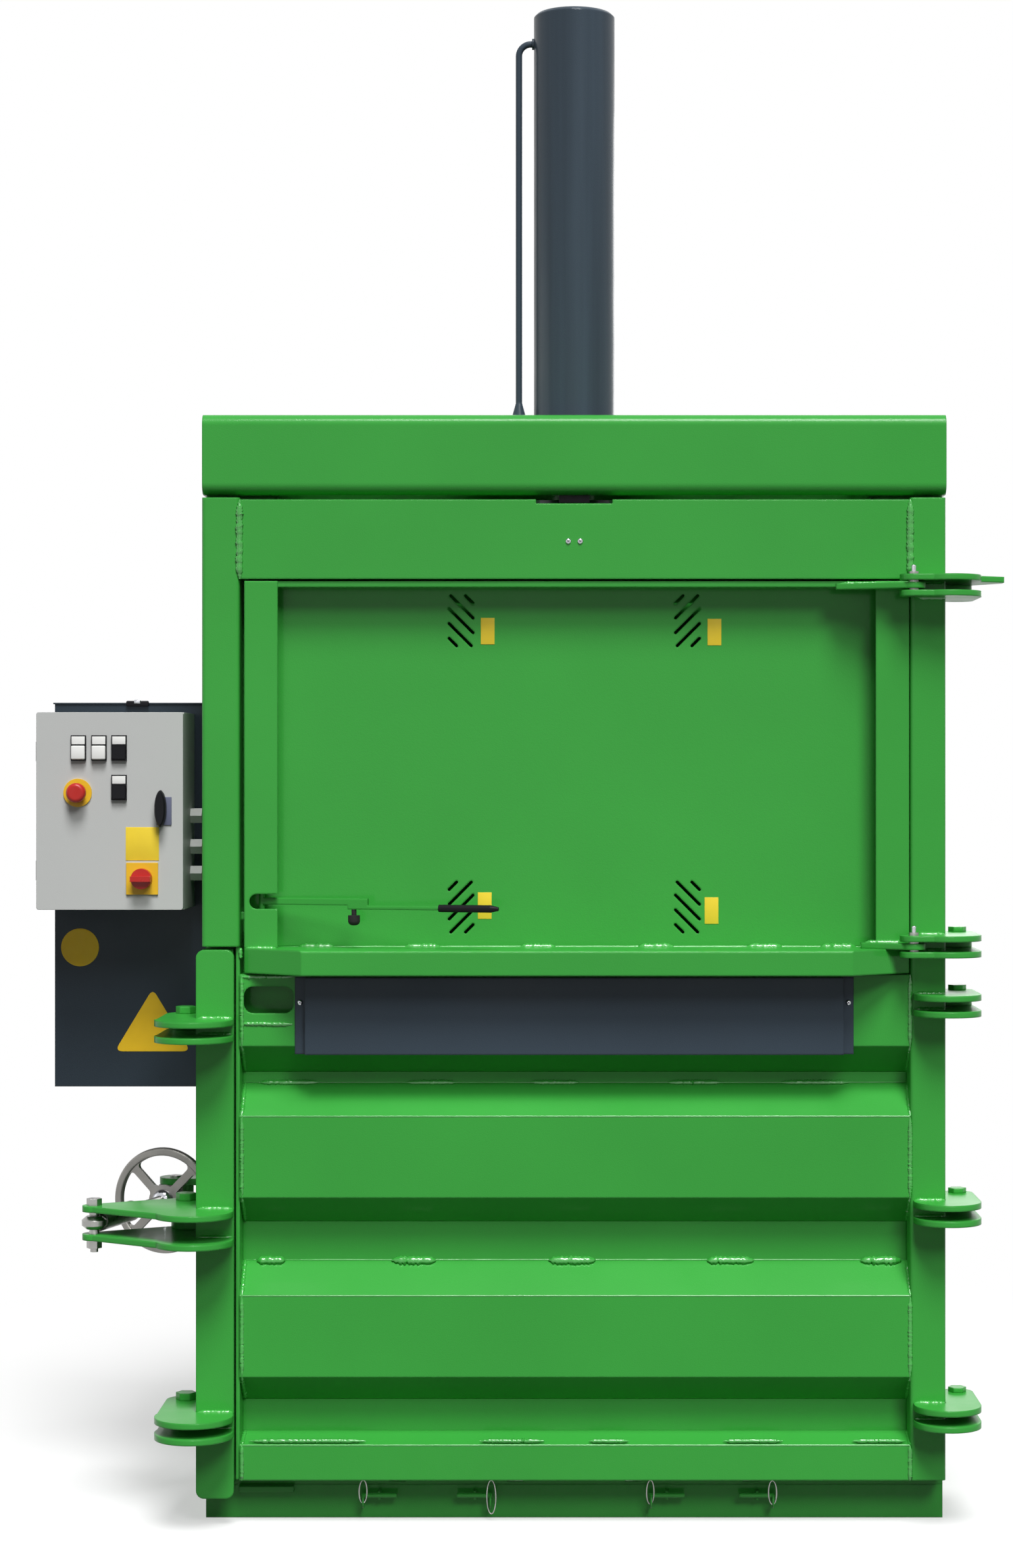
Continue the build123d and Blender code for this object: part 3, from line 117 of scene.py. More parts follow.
def ramp(material, factor, stops):
    """A colour ramp from (place, colour) stops."""
    tree = material.node_tree
    node = tree.nodes.new("ShaderNodeValToRGB")
    elements = node.color_ramp.elements
    elements[0].position, elements[0].color = stops[0][0], (*stops[0][1], 1.0)
    elements[1].position, elements[1].color = stops[-1][0], (*stops[-1][1], 1.0)
    for place, colour in stops[1:-1]:
        elements.new(place).color = (*colour, 1.0)
    tree.links.new(factor, node.inputs["Fac"])
    return node.outputs["Color"]


def shade(colour, factor):
    """A colour made lighter or darker."""
    return tuple(min(1.0, c * factor) for c in colour)


def vary_colour(material, shader, colour, spread, scale, stretch=no_stretch):
    """Broad, faint changes of tone over the surface."""
    dark, light = shade(colour, 1 - spread), shade(colour, 1 + spread)
    stops = [(noise_low, dark), (noise_middle, colour), (noise_high, light)]
    output = ramp(material, noise(material, scale, stretch=stretch), stops)
    material.node_tree.links.new(output, shader.inputs["Base Color"])


def vary_roughness(material, shader, low, high, scale):
    """Patches that shine more or less."""
    output = ramp(material, noise(material, scale), [(noise_low, (low,) * 3), (noise_high, (high,) * 3)])
    material.node_tree.links.new(output, shader.inputs["Roughness"])


def surface(material, shader, scale, depth, edge=0.0, stretch=no_stretch):
    """Fine relief, over edges rounded by the given radius."""
    tree = material.node_tree
    bump = tree.nodes.new("ShaderNodeBump")
    bump.inputs["Strength"].default_value = relief_strength
    bump.inputs["Distance"].default_value = depth
    tree.links.new(noise(material, scale, relief_detail, stretch), bump.inputs["Height"])
    if edge:
        bevel = tree.nodes.new("ShaderNodeBevel")
        bevel.samples = edge_samples
        bevel.inputs["Radius"].default_value = edge
        tree.links.new(bevel.outputs["Normal"], bump.inputs["Normal"])
        tree.links.new(bevel.outputs["Normal"], shader.inputs["Coat Normal"])
    tree.links.new(bump.outputs["Normal"], shader.inputs["Normal"])


# Materials

# Stretching the tone noise into upright stripes gives painted sheen
def paint(name, colour, roughness, coat, spread=0.05, peel=420.0, peel_depth=0.0006, edge=0.005, shine=0.1,
          sheen_streaks=no_stretch):
    """Sprayed paint with orange peel."""
    material, shader = new_material(name, colour, roughness)
    shader.inputs["Specular IOR Level"].default_value = shine
    shader.inputs["Coat Weight"].default_value = coat
    shader.inputs["Coat Roughness"].default_value = 0.12
    vary_colour(material, shader, colour, spread, scale=2.3, stretch=sheen_streaks)
    vary_roughness(material, shader, roughness - 0.06, roughness + 0.08, scale=7.0)
    surface(material, shader, peel, peel_depth, edge)
    return material


def metal(name, colour, roughness, scale=90.0, stretch=no_stretch, depth=0.0003, edge=0.001):
    """Bare metal with a fine grain."""
    material, shader = new_material(name, colour, roughness, metallic=1.0)
    vary_colour(material, shader, colour, spread=0.12, scale=14.0)
    vary_roughness(material, shader, roughness - 0.08, roughness + 0.12, scale=40.0)
    surface(material, shader, scale, depth, edge, stretch)
    return material


def plastic(name, colour, roughness, grain=600.0, depth=0.0002, edge=0.0008, shine=0.3):
    """Moulded plastic or rubber."""
    material, shader = new_material(name, colour, roughness)
    shader.inputs["Specular IOR Level"].default_value = shine
    vary_colour(material, shader, colour, spread=0.04, scale=20.0)
    vary_roughness(material, shader, roughness - 0.05, roughness + 0.07, scale=60.0)
    surface(material, shader, grain, depth, edge)
    return material


green = (0.040, 0.345, 0.046)
anthracite = (0.038, 0.056, 0.076)
looks = {
    "green_paint": paint("green_paint", green, roughness=0.36, coat=0.2),
    "anthracite_paint": paint("anthracite_paint", anthracite, roughness=0.38, coat=0.12, spread=0.08),
    "grey_paint": paint("grey_paint", (0.53, 0.54, 0.53), roughness=0.42, coat=0.05, spread=0.02,
                        peel=700.0, peel_depth=0.0004, edge=0.002),
    "zinc_steel": metal("zinc_steel", (0.34, 0.34, 0.325), roughness=0.30),
    "chrome_rod": metal("chrome_rod", (0.62, 0.63, 0.64), roughness=0.16, scale=220.0,
                        stretch=(1.0, 1.0, 0.05), depth=0.0001),
    "cast_wheel": metal("cast_wheel", (0.24, 0.235, 0.22), roughness=0.46, scale=260.0),
    "black_plastic": plastic("black_plastic", (0.009, 0.009, 0.011), roughness=0.42, shine=0.1),
    "black_rubber": plastic("black_rubber", (0.010, 0.010, 0.010), roughness=0.75, grain=300.0, depth=0.0004),
    "grey_plastic": plastic("grey_plastic", (0.56, 0.57, 0.55), roughness=0.45),
    "yellow_plastic": plastic("yellow_plastic", (0.80, 0.48, 0.02), roughness=0.36),
    "red_plastic": plastic("red_plastic", (0.47, 0.018, 0.013), roughness=0.30),
    "white_plastic": plastic("white_plastic", (0.84, 0.84, 0.82), roughness=0.35),
}
bead_paint = paint("green_weld", shade(green, 1.1), roughness=0.22, coat=0.9, spread=0.12,
                   peel=330.0, peel_depth=0.0022, edge=0.0, shine=0.3)
fold_paint = paint("green_fold", green, roughness=0.30, coat=0.85, peel_depth=0.0004, edge=0.0, shine=0.2)
label_yellow = plastic("label_yellow", (0.86, 0.63, 0.04), roughness=0.40)
# Painted light: a brighter yellow than the labels, lifting the cabinet's disc and triangle out of the control
# box's shadow
cabinet_yellow_painted_light = plastic("cabinet_yellow_painted_light", (0.95, 0.58, 0.02), roughness=0.40)
blue_grey = plastic("blue_grey_plastic", (0.12, 0.13, 0.20), roughness=0.40)
polished = metal("polished_steel", (0.50, 0.51, 0.54), roughness=0.14, scale=300.0)
slot_of_node = {s["node"]: s["material_slot"] for s in frame["record"]["subparts"]}
for name, obj in nodes.items():
    obj.data.materials.clear()
    obj.data.materials.append(looks[slot_of_node[name]])

# Painted sheen: upright stripes of lighter and darker tone on the barrel stand in for the reflections of long
# lamps. Painted shade: the cabinet is darker than the rest of the anthracite pieces, for the shadow it stands in
barrel_painted_sheen = paint("barrel_painted_sheen", anthracite, roughness=0.34, coat=0.2, spread=0.26,
                     sheen_streaks=(9.0, 9.0, 0.25))
nodes["cylinder_barrel"].data.materials[0] = barrel_painted_sheen
# Painted shade: a darker copy of the anthracite for the cabinet, which stands set back in shadow
cabinet_painted_shade = paint("cabinet_painted_shade", shade(anthracite, 0.6), roughness=0.38, coat=0.08, spread=0.08)
nodes["hydraulic_cabinet"].data.materials[0] = cabinet_painted_shade


# Mesh tools

def add_piece(name, mesh, material, body, smooth_angle=40.0):
    """Links a mesh as a named piece that rides on a body."""
    obj = bpy.data.objects.new(name, mesh)
    bpy.context.scene.collection.objects.link(obj)
    mesh.materials.append(material)
    for polygon in mesh.polygons:
        polygon.use_smooth = True
    mesh.set_sharp_from_angle(angle=math.radians(smooth_angle))
    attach(obj, body)
    return obj


def mesh_from(name, bm):
    """A mesh with its faces turned outward."""
    bmesh.ops.recalc_face_normals(bm, faces=bm.faces)
    mesh = bpy.data.meshes.new(name)
    bm.to_mesh(mesh)
    bm.free()
    return mesh


def circle(count):
    """Angles of evenly spaced points round a ring."""
    return [2 * math.pi * k / count for k in range(count)]


def aimed(place, axis):
    """Takes a shape made along Z to a place, along an axis."""
    turn = Vector((0, 0, 1)).rotation_difference(Vector(axis)).to_matrix().to_4x4()
    return Matrix.Translation(Vector(place)) @ turn


def join_rings(bm, rings, closed=False):
    """Faces between neighbouring rings of points, with end caps unless the last ring joins the first."""
    pairs = list(zip(rings, rings[1:]))
    if closed:
        pairs.append((rings[-1], rings[0]))
    for a, b in pairs:
        count = max(len(a), len(b))
        for k in range(count):
            j = (k + 1) % count
            corners = (a[k % len(a)], a[j % len(a)], b[j % len(b)], b[k % len(b)])
            bm.faces.new(list(dict.fromkeys(corners)))
    if not closed:
        for ring in (rings[0], rings[-1]):
            if len(ring) > 1:
                bm.faces.new(ring)


def bead_into(bm, line, radius, rng, sides, step):
    """A rippled weld bead along a line of start, end and, unless it is forward, the way it faces."""
    start, end = Vector(line[0]), Vector(line[1])
    out = line[2] if len(line) > 2 else forward
    along = end - start
    count = max(4, int(along.length / (radius * step)))
    up = along.normalized().cross(out).normalized()
    rings = []
    for i in range(count + 1):
        t = i / count
        taper = min(1.0, bead_end_slope * t + bead_end_size, bead_end_slope * (1 - t) + bead_end_size)
        ripple = 1.0 + bead_ripple * math.cos(i * math.pi) + rng.uniform(-bead_unevenness, bead_unevenness)
        height = radius * taper * ripple
        drift = up * rng.uniform(-bead_drift, bead_drift) * radius
        centre = start + along * t + drift
        ring = []
        for angle in circle(sides):
            offset = out * math.cos(angle) * height + up * math.sin(angle) * height * bead_flatness
            ring.append(bm.verts.new(centre + offset))
        rings.append(ring)
    join_rings(bm, rings)


def welds(name, lines, radius, body, seed, sides=7, step=0.6):
    """Several weld beads as one piece, with a ring of points at each step of the radius."""
    rng = random.Random(seed)
    bm = bmesh.new()
    for line in lines:
        bead_into(bm, line, radius, rng, sides, step)
    return add_piece(name, mesh_from(name, bm), bead_paint, body, weld_smooth_angle)


def folds(name, lines, radius, body, sides=14):
    """Rounded fold edges as straight round strips."""
    bm = bmesh.new()
    for start, end in lines:
        start, end = Vector(start), Vector(end)
        along = end - start
        made = bmesh.ops.create_cone(bm, cap_ends=True, segments=sides, radius1=radius, radius2=radius,
                                     depth=along.length)
        bmesh.ops.transform(bm, matrix=aimed((start + end) / 2, along), verts=made["verts"])
    return add_piece(name, mesh_from(name, bm), fold_paint, body, weld_smooth_angle)


def lathe(name, profile, place, axis, material, body, segments=40):
    """A turned piece: (radius, height) points spun about an axis at a place."""
    bm = bmesh.new()
    rings = []
    for radius, height in profile:
        angles = circle(segments) if radius > 0 else [0.0]
        rings.append([bm.verts.new((radius * math.cos(a), radius * math.sin(a), height)) for a in angles])
    join_rings(bm, rings)
    bmesh.ops.transform(bm, matrix=aimed(place, axis), verts=bm.verts)
    return add_piece(name, mesh_from(name, bm), material, body)


def soft_plate(name, low, high, radius, material, body):
    """A flat plate with rounded edges between two corners."""
    low, high = Vector(low), Vector(high)
    bm = bmesh.new()
    bmesh.ops.create_cube(bm, size=1.0)
    for v in bm.verts:
        v.co = Vector((low[i] + (v.co[i] + 0.5) * (high[i] - low[i]) for i in range(3)))
    bmesh.ops.bevel(bm, geom=bm.edges[:], offset=radius, segments=3, affect="EDGES", profile=0.5)
    return add_piece(name, mesh_from(name, bm), material, body)


# Weld beads on the bale door: the height of each rib's face, and the reach of its flanks below and above it
bead = 0.0035
rib_faces = {"low": (0.092, 0.163), "middle": (0.300, 0.464), "high": (0.661, 0.825)}
rib_flanks = {"low": (0.0, 0.017), "middle": (0.057, 0.062), "high": (0.057, 0.062)}
rail_face = (0.966, 1.110)
rail_flank = 0.058
seam = {"sides": 6, "step": 25.0}


def rib_root(name):
    """Height at which a rib's upper flank meets the door's skin."""
    return rib_faces[name][1] + rib_flanks[name][1]


def root_line(name, spans, lift=0.0):
    """Bead runs along a rib's root on the door's skin."""
    level = rib_root(name)
    return [((x0, skin_y - lift, level), (x1, skin_y - lift, level), upward) for x0, x1 in spans]


stitch_spans = [(-0.645, -0.587), (-0.371, -0.281), (-0.052, 0.043), (0.270, 0.365), (0.582, 0.665)]
stitch_lines = root_line("middle", stitch_spans, lift=0.005)
welds("stitch_welds", stitch_lines, radius=0.0072, body="bale_door", seed=1)
fine_spans = [(-0.640, -0.520), (-0.340, -0.240), (-0.090, 0.010), (0.190, 0.300), (0.420, 0.560)]
fine_lines = root_line("high", fine_spans, lift=0.002)
welds("upper_stitch_welds", fine_lines, radius=0.0045, body="bale_door", seed=2)
seam_lines = [line for name in ("middle", "high") for line in root_line(name, [(-0.672, 0.674)])]
welds("root_seams", seam_lines, radius=0.0014, body="bale_door", seed=12, **seam)
foot_spans = [(-0.655, -0.420), (-0.190, -0.060), (0.030, 0.110), (0.300, 0.420), (0.560, 0.668)]
door_foot_y = face_y + 0.006
door_foot_z = rib_root("low") - 0.010
foot_lines = [((x0, door_foot_y, door_foot_z), (x1, door_foot_y, door_foot_z)) for x0, x1 in foot_spans]
welds("foot_stitch_welds", foot_lines, radius=0.0035, body="bale_door", seed=3)

end_lines = []
for x in (stile_right + 1.4 * bead, right_stile_left):
    for name, (low, high) in rib_faces.items():
        fall, rise = rib_flanks[name]
        end_lines.append(((x, face_y, low), (x, face_y, high)))
        end_lines.append(((x, face_y, high), (x, skin_y, high + rise), upward))
        if fall:
            end_lines.append(((x, face_y, low), (x, skin_y, low - fall), downward))
    end_lines.append(((x, face_y, rail_face[0]), (x, face_y, rail_face[1])))
    end_lines.append(((x, face_y, rail_face[0]), (x, skin_y, rail_face[0] - rail_flank), downward))
welds("rib_end_welds", end_lines, radius=bead, body="bale_door", seed=4)

# Strips at the upper folds of the ribs, mostly sunk into them
fold_radius = 0.0026
fold_y = face_y + 0.74 * fold_radius
fold_drop = 0.31 * fold_radius
fold_ends = (stile_right + 0.001, right_stile_left - 0.001)
fold_lines = [[(x, fold_y, high - fold_drop) for x in fold_ends] for low, high in rib_faces.values()]
folds("rib_folds", fold_lines, fold_radius, "bale_door")

header_low, header_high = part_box("door_header")
header_lines = [((x, face_y, header_low.z), (x, face_y, header_high.z))
                for x in (stile_right, right_stile_left)]
welds("header_welds", header_lines, radius=0.006, body="bale_door", seed=5)


# Weld beads on the feed door
rail_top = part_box("feed_door_bottom_rail")[1].z
panel_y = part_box("feed_door_panel")[0].y
inner_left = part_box("feed_door_left_stile")[1].x
inner_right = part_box("feed_door_right_stile")[0].x
seam_y = panel_y - 0.001
seam_gap = 0.004
foot_seam = [((inner_left + seam_gap, seam_y, rail_top), (inner_right - seam_gap, seam_y, rail_top), upward)]
welds("panel_foot_seam", foot_seam, radius=0.0018, body="feed_door", seed=6, **seam)
stitch_y = seam_y - 0.0035
stitch_length = 0.072
stitch_starts = (-0.560, -0.344, -0.110, 0.130, 0.350, 0.500)
foot_stitches = [((x, stitch_y, rail_top), (x + stitch_length, stitch_y, rail_top), upward)
                 for x in stitch_starts]
welds("panel_foot_welds", foot_stitches, radius=0.0062, body="feed_door", seed=13)
proud_y = face_y - 0.001
stile_spans = ((-0.660, -0.600), (0.610, 0.668))
stile_feet = [((x0, proud_y, rail_top), (x1, proud_y, rail_top), upward) for x0, x1 in stile_spans]
welds("stile_foot_welds", stile_feet, radius=0.004, body="feed_door", seed=7)


# Weld beads where plates meet the lock bar, the bale door and the feed door
def plate_beads(x0, x1, y, levels, thickness=0.012):
    """Beads above and below each plate, along the face that it is welded to."""
    lines = []
    for level in levels:
        lines.append(((x0, y, level + thickness), (x1, y, level + thickness), upward))
        lines.append(((x0, y, level), (x1, y, level), downward))
    return lines


bar_low, bar_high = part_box("lock_bar")
lock_plates = (1.011, 0.979, 0.6285, 0.5715, 0.220, 0.188)
lock_beads = plate_beads(bar_low.x + 0.004, bar_high.x - 0.003, bar_low.y, lock_plates)
welds("lock_plate_welds", lock_beads, radius=0.0042, body="lock_bar", seed=8)
short_plates = (1.060, 1.028, 0.644, 0.612, 0.236, 0.204)
long_plates = (1.900, 1.868, 1.179, 1.147)
hinge_beads = plate_beads(0.686, 0.746, face_y, short_plates)
hinge_beads += plate_beads(0.692, 0.746, face_y, long_plates)
welds("hinge_plate_welds", hinge_beads, radius=0.0042, body="bale_door", seed=9)
arm_spans = [(0.534, 0.655, 1.896), (0.586, 0.660, 1.175)]
arm_beads = [((x0, proud_y, z), (x1, proud_y, z), upward) for x0, x1, z in arm_spans]
welds("arm_welds", arm_beads, radius=0.0045, body="feed_door", seed=10)

# Weld beads over and under the hand hole, and a short one at the stile above it
hole_left, hole_right = -0.671, -0.566
short_x, short_y = -0.6725, -0.504
hole_beads = [((hole_left, face_y, 1.105), (hole_right, face_y, 1.106)),
              ((hole_left, face_y, 1.011), (hole_right, face_y, 1.010)),
              ((short_x, short_y, 1.141), (short_x, short_y, 1.163))]
welds("hand_hole_welds", hole_beads, radius=0.0034, body="bale_door", seed=11)


# Screws with domed heads and a cross recess
def screw_into(bm, centre, radius, height):
    """A domed head that faces forward, from its top to its rim."""
    x, y, z = centre
    rings = []
    for share in (0.0, 0.35, 0.65, 0.88, 1.0):
        front = y - height * math.sqrt(1 - share * share)
        reach = radius * share
        angles = circle(24) if share else [0.0]
        rings.append([bm.verts.new((x + reach * math.cos(a), front, z + reach * math.sin(a)))
                      for a in angles])
    join_rings(bm, rings)


def recess_shade_into(bm, centre, length, width, depth):
    """A cross of two flat bars, painted shade that stands for the recess."""
    for turn in (0.25 * math.pi, 0.75 * math.pi):
        matrix = Matrix.Translation(centre) @ Matrix.Rotation(turn, 4, "Y")
        bmesh.ops.create_cube(bm, size=1.0, matrix=matrix @ Matrix.Diagonal((length, depth, width, 1.0)))


screw_radius = 0.006
cover_screw_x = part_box("door_screws")[1].x - screw_radius
flange_front = face_y - 0.003
screw_places = [(-cover_screw_x, flange_front, 1.054), (cover_screw_x, flange_front, 1.054),
                (-0.012, face_y, 1.982), (0.012, face_y, 1.982)]
recess_offset = Vector((0, -0.0038, 0))
screw_bm = bmesh.new()
recess_shade_bm = bmesh.new()
for place in screw_places:
    screw_into(screw_bm, place, screw_radius, height=0.004)
    recess_shade_into(recess_shade_bm, Vector(place) + recess_offset, length=0.0062, width=0.0011, depth=0.0006)
screws = add_piece("screw_heads", mesh_from("screw_heads", screw_bm), polished, "bale_door")
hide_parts("door_screws")
# Painted shade: black crosses in place of the dark of the screws' cross recesses
add_piece("screw_recess_shade", mesh_from("screw_recess_shade", recess_shade_bm), looks["black_plastic"], "bale_door")


# Plain plates
plate_depth = 0.0008
plate_edge = 0.0003
plate_half_width, plate_half_height = 0.014, 0.027
label_plates = [(-0.176, 1.804), (0.285, 1.802), (-0.182, 1.246), (0.279, 1.236)]
for number, (x, z) in enumerate(label_plates, 1):
    soft_plate(f"panel_plate_{number}", (x - plate_half_width, panel_y - plate_depth, z - plate_half_height),
               (x + plate_half_width, panel_y, z + plate_half_height), plate_edge, label_yellow, "feed_door")
soft_plate("switch_label_plate", (-0.917, box_face_y - plate_depth, 1.337), (-0.849, box_face_y, 1.405),
           plate_edge, label_yellow, "control_door")


# Control units: black frames with a blank legend plate over the lens or button
unit_front = box_face_y - 0.008
unit_half_width, unit_half_height = 0.0155, 0.026
lens_half_width, lens_low, lens_high, lens_depth = 0.014, -0.0235, 0.0045, 0.006
legend_half_width, legend_low, legend_high = 0.0135, 0.0075, 0.0235


def unit_legend(name, x, z):
    """A blank white plate at the top of a unit."""
    soft_plate(name, (x - legend_half_width, unit_front - plate_depth, z + legend_low),
               (x + legend_half_width, unit_front, z + legend_high), plate_edge, looks["white_plastic"],
               "control_door")


lamp_low, lamp_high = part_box("indicator_lamps")
lamp_z = (lamp_low.z + lamp_high.z) / 2
lamp_columns = (lamp_low.x + unit_half_width, lamp_high.x - unit_half_width)
lamp_pieces = []
for number, x in enumerate(lamp_columns, 1):
    lamp_pieces.append(soft_plate(
        f"lamp_frame_{number}", (x - unit_half_width, unit_front, lamp_z - unit_half_height),
        (x + unit_half_width, box_face_y, lamp_z + unit_half_height), 0.0012,
        looks["black_plastic"], "control_door"))
    lamp_pieces.append(soft_plate(
        f"lamp_lens_{number}", (x - lens_half_width, unit_front - lens_depth, lamp_z + lens_low),
        (x + lens_half_width, unit_front, lamp_z + lens_high), 0.0022,
        looks["white_plastic"], "control_door"))
    unit_legend(f"lamp_legend_{number}", x, lamp_z)
for piece in lamp_pieces:
    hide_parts("indicator_lamps")
bezel_low, bezel_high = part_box("button_bezels")
button_x = (bezel_low.x + bezel_high.x) / 2
for number, z in enumerate((bezel_high.z - unit_half_height, bezel_low.z + unit_half_height), 1):
    unit_legend(f"button_legend_{number}", button_x, z)


# Spindle with its thread
wheel_joint = next(joint for joint in frame["joints"] if joint["name"] == "handwheel_turn")
spindle_axis = Vector(wheel_joint["axis"]).normalized()
spindle_place = Vector(wheel_joint["pos_m"])
thread_steps = 12
thread_flank = 3.2
thread_crest = 1.6


def threaded(name, radius, depth, lead, start, end, collars, body):
    """A screw along the spindle's axis, with plain collars of (radius, start, end)."""
    segments = 28
    count = int((end - start) / lead * thread_steps)
    bm = bmesh.new()
    rings = []
    for i in range(count + 1):
        z = start + (end - start) * i / count
        collar = next((r for r, low, high in collars if low <= z <= high), None)
        ring = []
        for k, angle in enumerate(circle(segments)):
            phase = (z / lead + k / segments) % 1.0
            crest = max(0.0, 1 - abs(phase - 0.5) * thread_flank)
            r = collar or radius - depth + depth * min(1.0, crest * thread_crest)
            ring.append(bm.verts.new((r * math.cos(angle), r * math.sin(angle), z)))
        rings.append(ring)
    join_rings(bm, rings)
    bmesh.ops.transform(bm, matrix=aimed(spindle_place, spindle_axis), verts=bm.verts)
    return add_piece(name, mesh_from(name, bm), looks["zinc_steel"], body, smooth_angle=50.0)


spindle_collars = [(0.020, 0.0285, 0.0385), (0.020, -0.0385, -0.0285)]
spindle = threaded("threaded_spindle", radius=0.012, depth=0.0016, lead=0.006, start=-0.262, end=0.060,
                   collars=spindle_collars, body="handwheel")
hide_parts("spindle")


# Polished hub and grease nipples
wheel_centre = spindle_place - spindle_axis * 0.062
hub_core, hub_foot, hub_round, hub_steps = 0.0083, 0.0043, 0.016, 8
hub_profile = [(0.0243, 0.0047)]
for step in range(1, hub_steps):
    turn = math.pi / 2 * step / hub_steps
    hub_profile.append((hub_core + hub_round * math.cos(turn), hub_foot + hub_round * math.sin(turn)))
hub_profile.append((0.0125, 0.0204))
lathe("hub_cap", hub_profile, wheel_centre, -spindle_axis, polished, "handwheel")
nipple_x, nipple_y = 0.678, -0.557
nipple_profile = [(0.0047, 0.0), (0.0047, 0.0085), (0.0049, 0.0105), (0.0047, 0.0122), (0.003, 0.0134),
                  (0.0, 0.0138)]
for number, level in enumerate((1.918, 1.197), 1):
    lathe(f"grease_nipple_{number}", nipple_profile, (nipple_x, nipple_y, level), (0, 0, 1), polished,
          "feed_door", segments=20)


# Loops of tie wire on the strap hooks
def loop_into(bm, centre, half_width, half_height, yaw, wire=0.0014, turns=48, sides=8):
    """An upright oval loop of wire, turned about Z by yaw degrees."""
    across = Vector((math.cos(math.radians(yaw)), math.sin(math.radians(yaw)), 0))
    upright = Vector((0, 0, 1))
    through = across.cross(upright)
    rings = []
    for around in circle(turns):
        outward = across * math.cos(around) + upright * math.sin(around)
        sideways = across * half_width * math.cos(around)
        spine = Vector(centre) + sideways + upright * half_height * math.sin(around)
        rings.append([bm.verts.new(spine + (outward * math.cos(a) + through * math.sin(a)) * wire)
                      for a in circle(sides)])
    join_rings(bm, rings, closed=True)


loop_bm = bmesh.new()
loop_y = -0.4705
tie_loops = [(-0.428, 0.060, 0.0085, 0.023, 25), (-0.168, 0.049, 0.0095, 0.034, -15),
             (0.154, 0.059, 0.0080, 0.024, 20), (0.402, 0.058, 0.0085, 0.024, -20)]
for x, z, half_width, half_height, yaw in tie_loops:
    loop_into(loop_bm, (x, loop_y, z), half_width, half_height, yaw)
add_piece("hook_rings", mesh_from("hook_rings", loop_bm), looks["zinc_steel"], "frame")

# Lid catch and plain plates of the cabinet
cabinet_low, cabinet_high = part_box("hydraulic_cabinet")
lid_y, lid_z = cabinet_low.y, cabinet_high.z
soft_plate("lid_catch", (-0.943, lid_y - 0.007, lid_z - 0.008), (-0.895, lid_y, lid_z + 0.004), 0.003,
           looks["black_plastic"], "frame")
soft_plate("lid_catch_pin", (-0.926, lid_y - 0.009, lid_z - 0.002), (-0.912, lid_y - 0.001, lid_z + 0.006),
           0.002, polished, "frame")
cabinet_face = lid_y + 0.003
disc_profile = [(0.040, 0.0), (0.040, 0.0005), (0.0397, plate_depth), (0.0, plate_depth)]
lathe("cabinet_disc", disc_profile, (-1.041, cabinet_face, 1.149), (0, -1, 0), cabinet_yellow_painted_light, "frame")


def rounded_outline(corners, radius, steps=6):
    """A polygon's points with each corner rounded."""
    points = []
    count = len(corners)
    for i, corner in enumerate(corners):
        corner = Vector(corner)
        before = (Vector(corners[i - 1]) - corner).normalized()
        after = (Vector(corners[(i + 1) % count]) - corner).normalized()
        half = before.angle(after) / 2
        reach = radius / math.tan(half)
        for step in range(steps + 1):
            t = step / steps
            start, end = corner + before * reach, corner + after * reach
            points.append(start.lerp(corner, t).lerp(corner.lerp(end, t), t))
    return points


def flat_plate(name, outline, y, depth, material, body):
    """A thin plate facing the front, from an outline in X and Z."""
    bm = bmesh.new()
    join_rings(bm, [[bm.verts.new((x, level, z)) for x, z in outline] for level in (y, y - depth)])
    return add_piece(name, mesh_from(name, bm), material, body)


triangle = rounded_outline([(-0.968, 0.930), (-0.888, 1.062), (-0.808, 0.930)], radius=0.010)
flat_plate("cabinet_triangle", triangle, cabinet_face, plate_depth, cabinet_yellow_painted_light, "frame")

# Wing handle of the control box, as rings of (share of the full size, depth), with its stem, catch and seat
wing_low, wing_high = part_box("swing_handle")
wing_middle = (wing_low + wing_high) / 2
wing_half = (wing_high - wing_low) / 2
wing_root = box_face_y - 0.008
wing_depth = wing_root - wing_low.y
wing_shape = [(0.94, wing_root), (1.0, wing_root - 0.1 * wing_depth), (1.0, wing_root - 0.5 * wing_depth),
              (0.9, wing_root - 0.85 * wing_depth), (0.7, wing_low.y)]
wing_sides = 48
wing_side_power = 1.25
wing_tip_power = 0.9
wing_bm = bmesh.new()
wing_rings = []
for share, y in wing_shape:
    half_width = wing_half.x * share
    half_height = wing_half.z * (0.55 + 0.45 * share)
    ring = []
    for angle in circle(wing_sides):
        across, along = math.sin(angle), math.cos(angle)
        x = half_width * math.copysign(abs(across) ** wing_side_power, across)
        z = half_height * math.copysign(abs(along) ** wing_tip_power, along)
        ring.append(wing_bm.verts.new((wing_middle.x + x, y, wing_middle.z + z)))
    wing_rings.append(ring)
join_rings(wing_bm, wing_rings)
wing = add_piece("wing_handle", mesh_from("wing_handle", wing_bm), looks["black_plastic"], "swing_handle")
stem_radius = 0.009
stem_overlap = 0.002
stem_end = wing_high.y - 0.003
stem_profile = [(stem_radius, 0.0), (stem_radius, stem_end - wing_root + stem_overlap)]
stem_place = (wing_middle.x, wing_root - stem_overlap, wing_middle.z)
stem = lathe("wing_handle_stem", stem_profile, stem_place, (0, 1, 0), looks["black_plastic"], "swing_handle")
catch = soft_plate("wing_handle_catch", (wing_middle.x - 0.007, stem_end - 0.0005, wing_middle.z - 0.007),
                   (wing_middle.x + 0.007, wing_high.y, wing_middle.z + 0.034), 0.0006, looks["zinc_steel"],
                   "swing_handle")
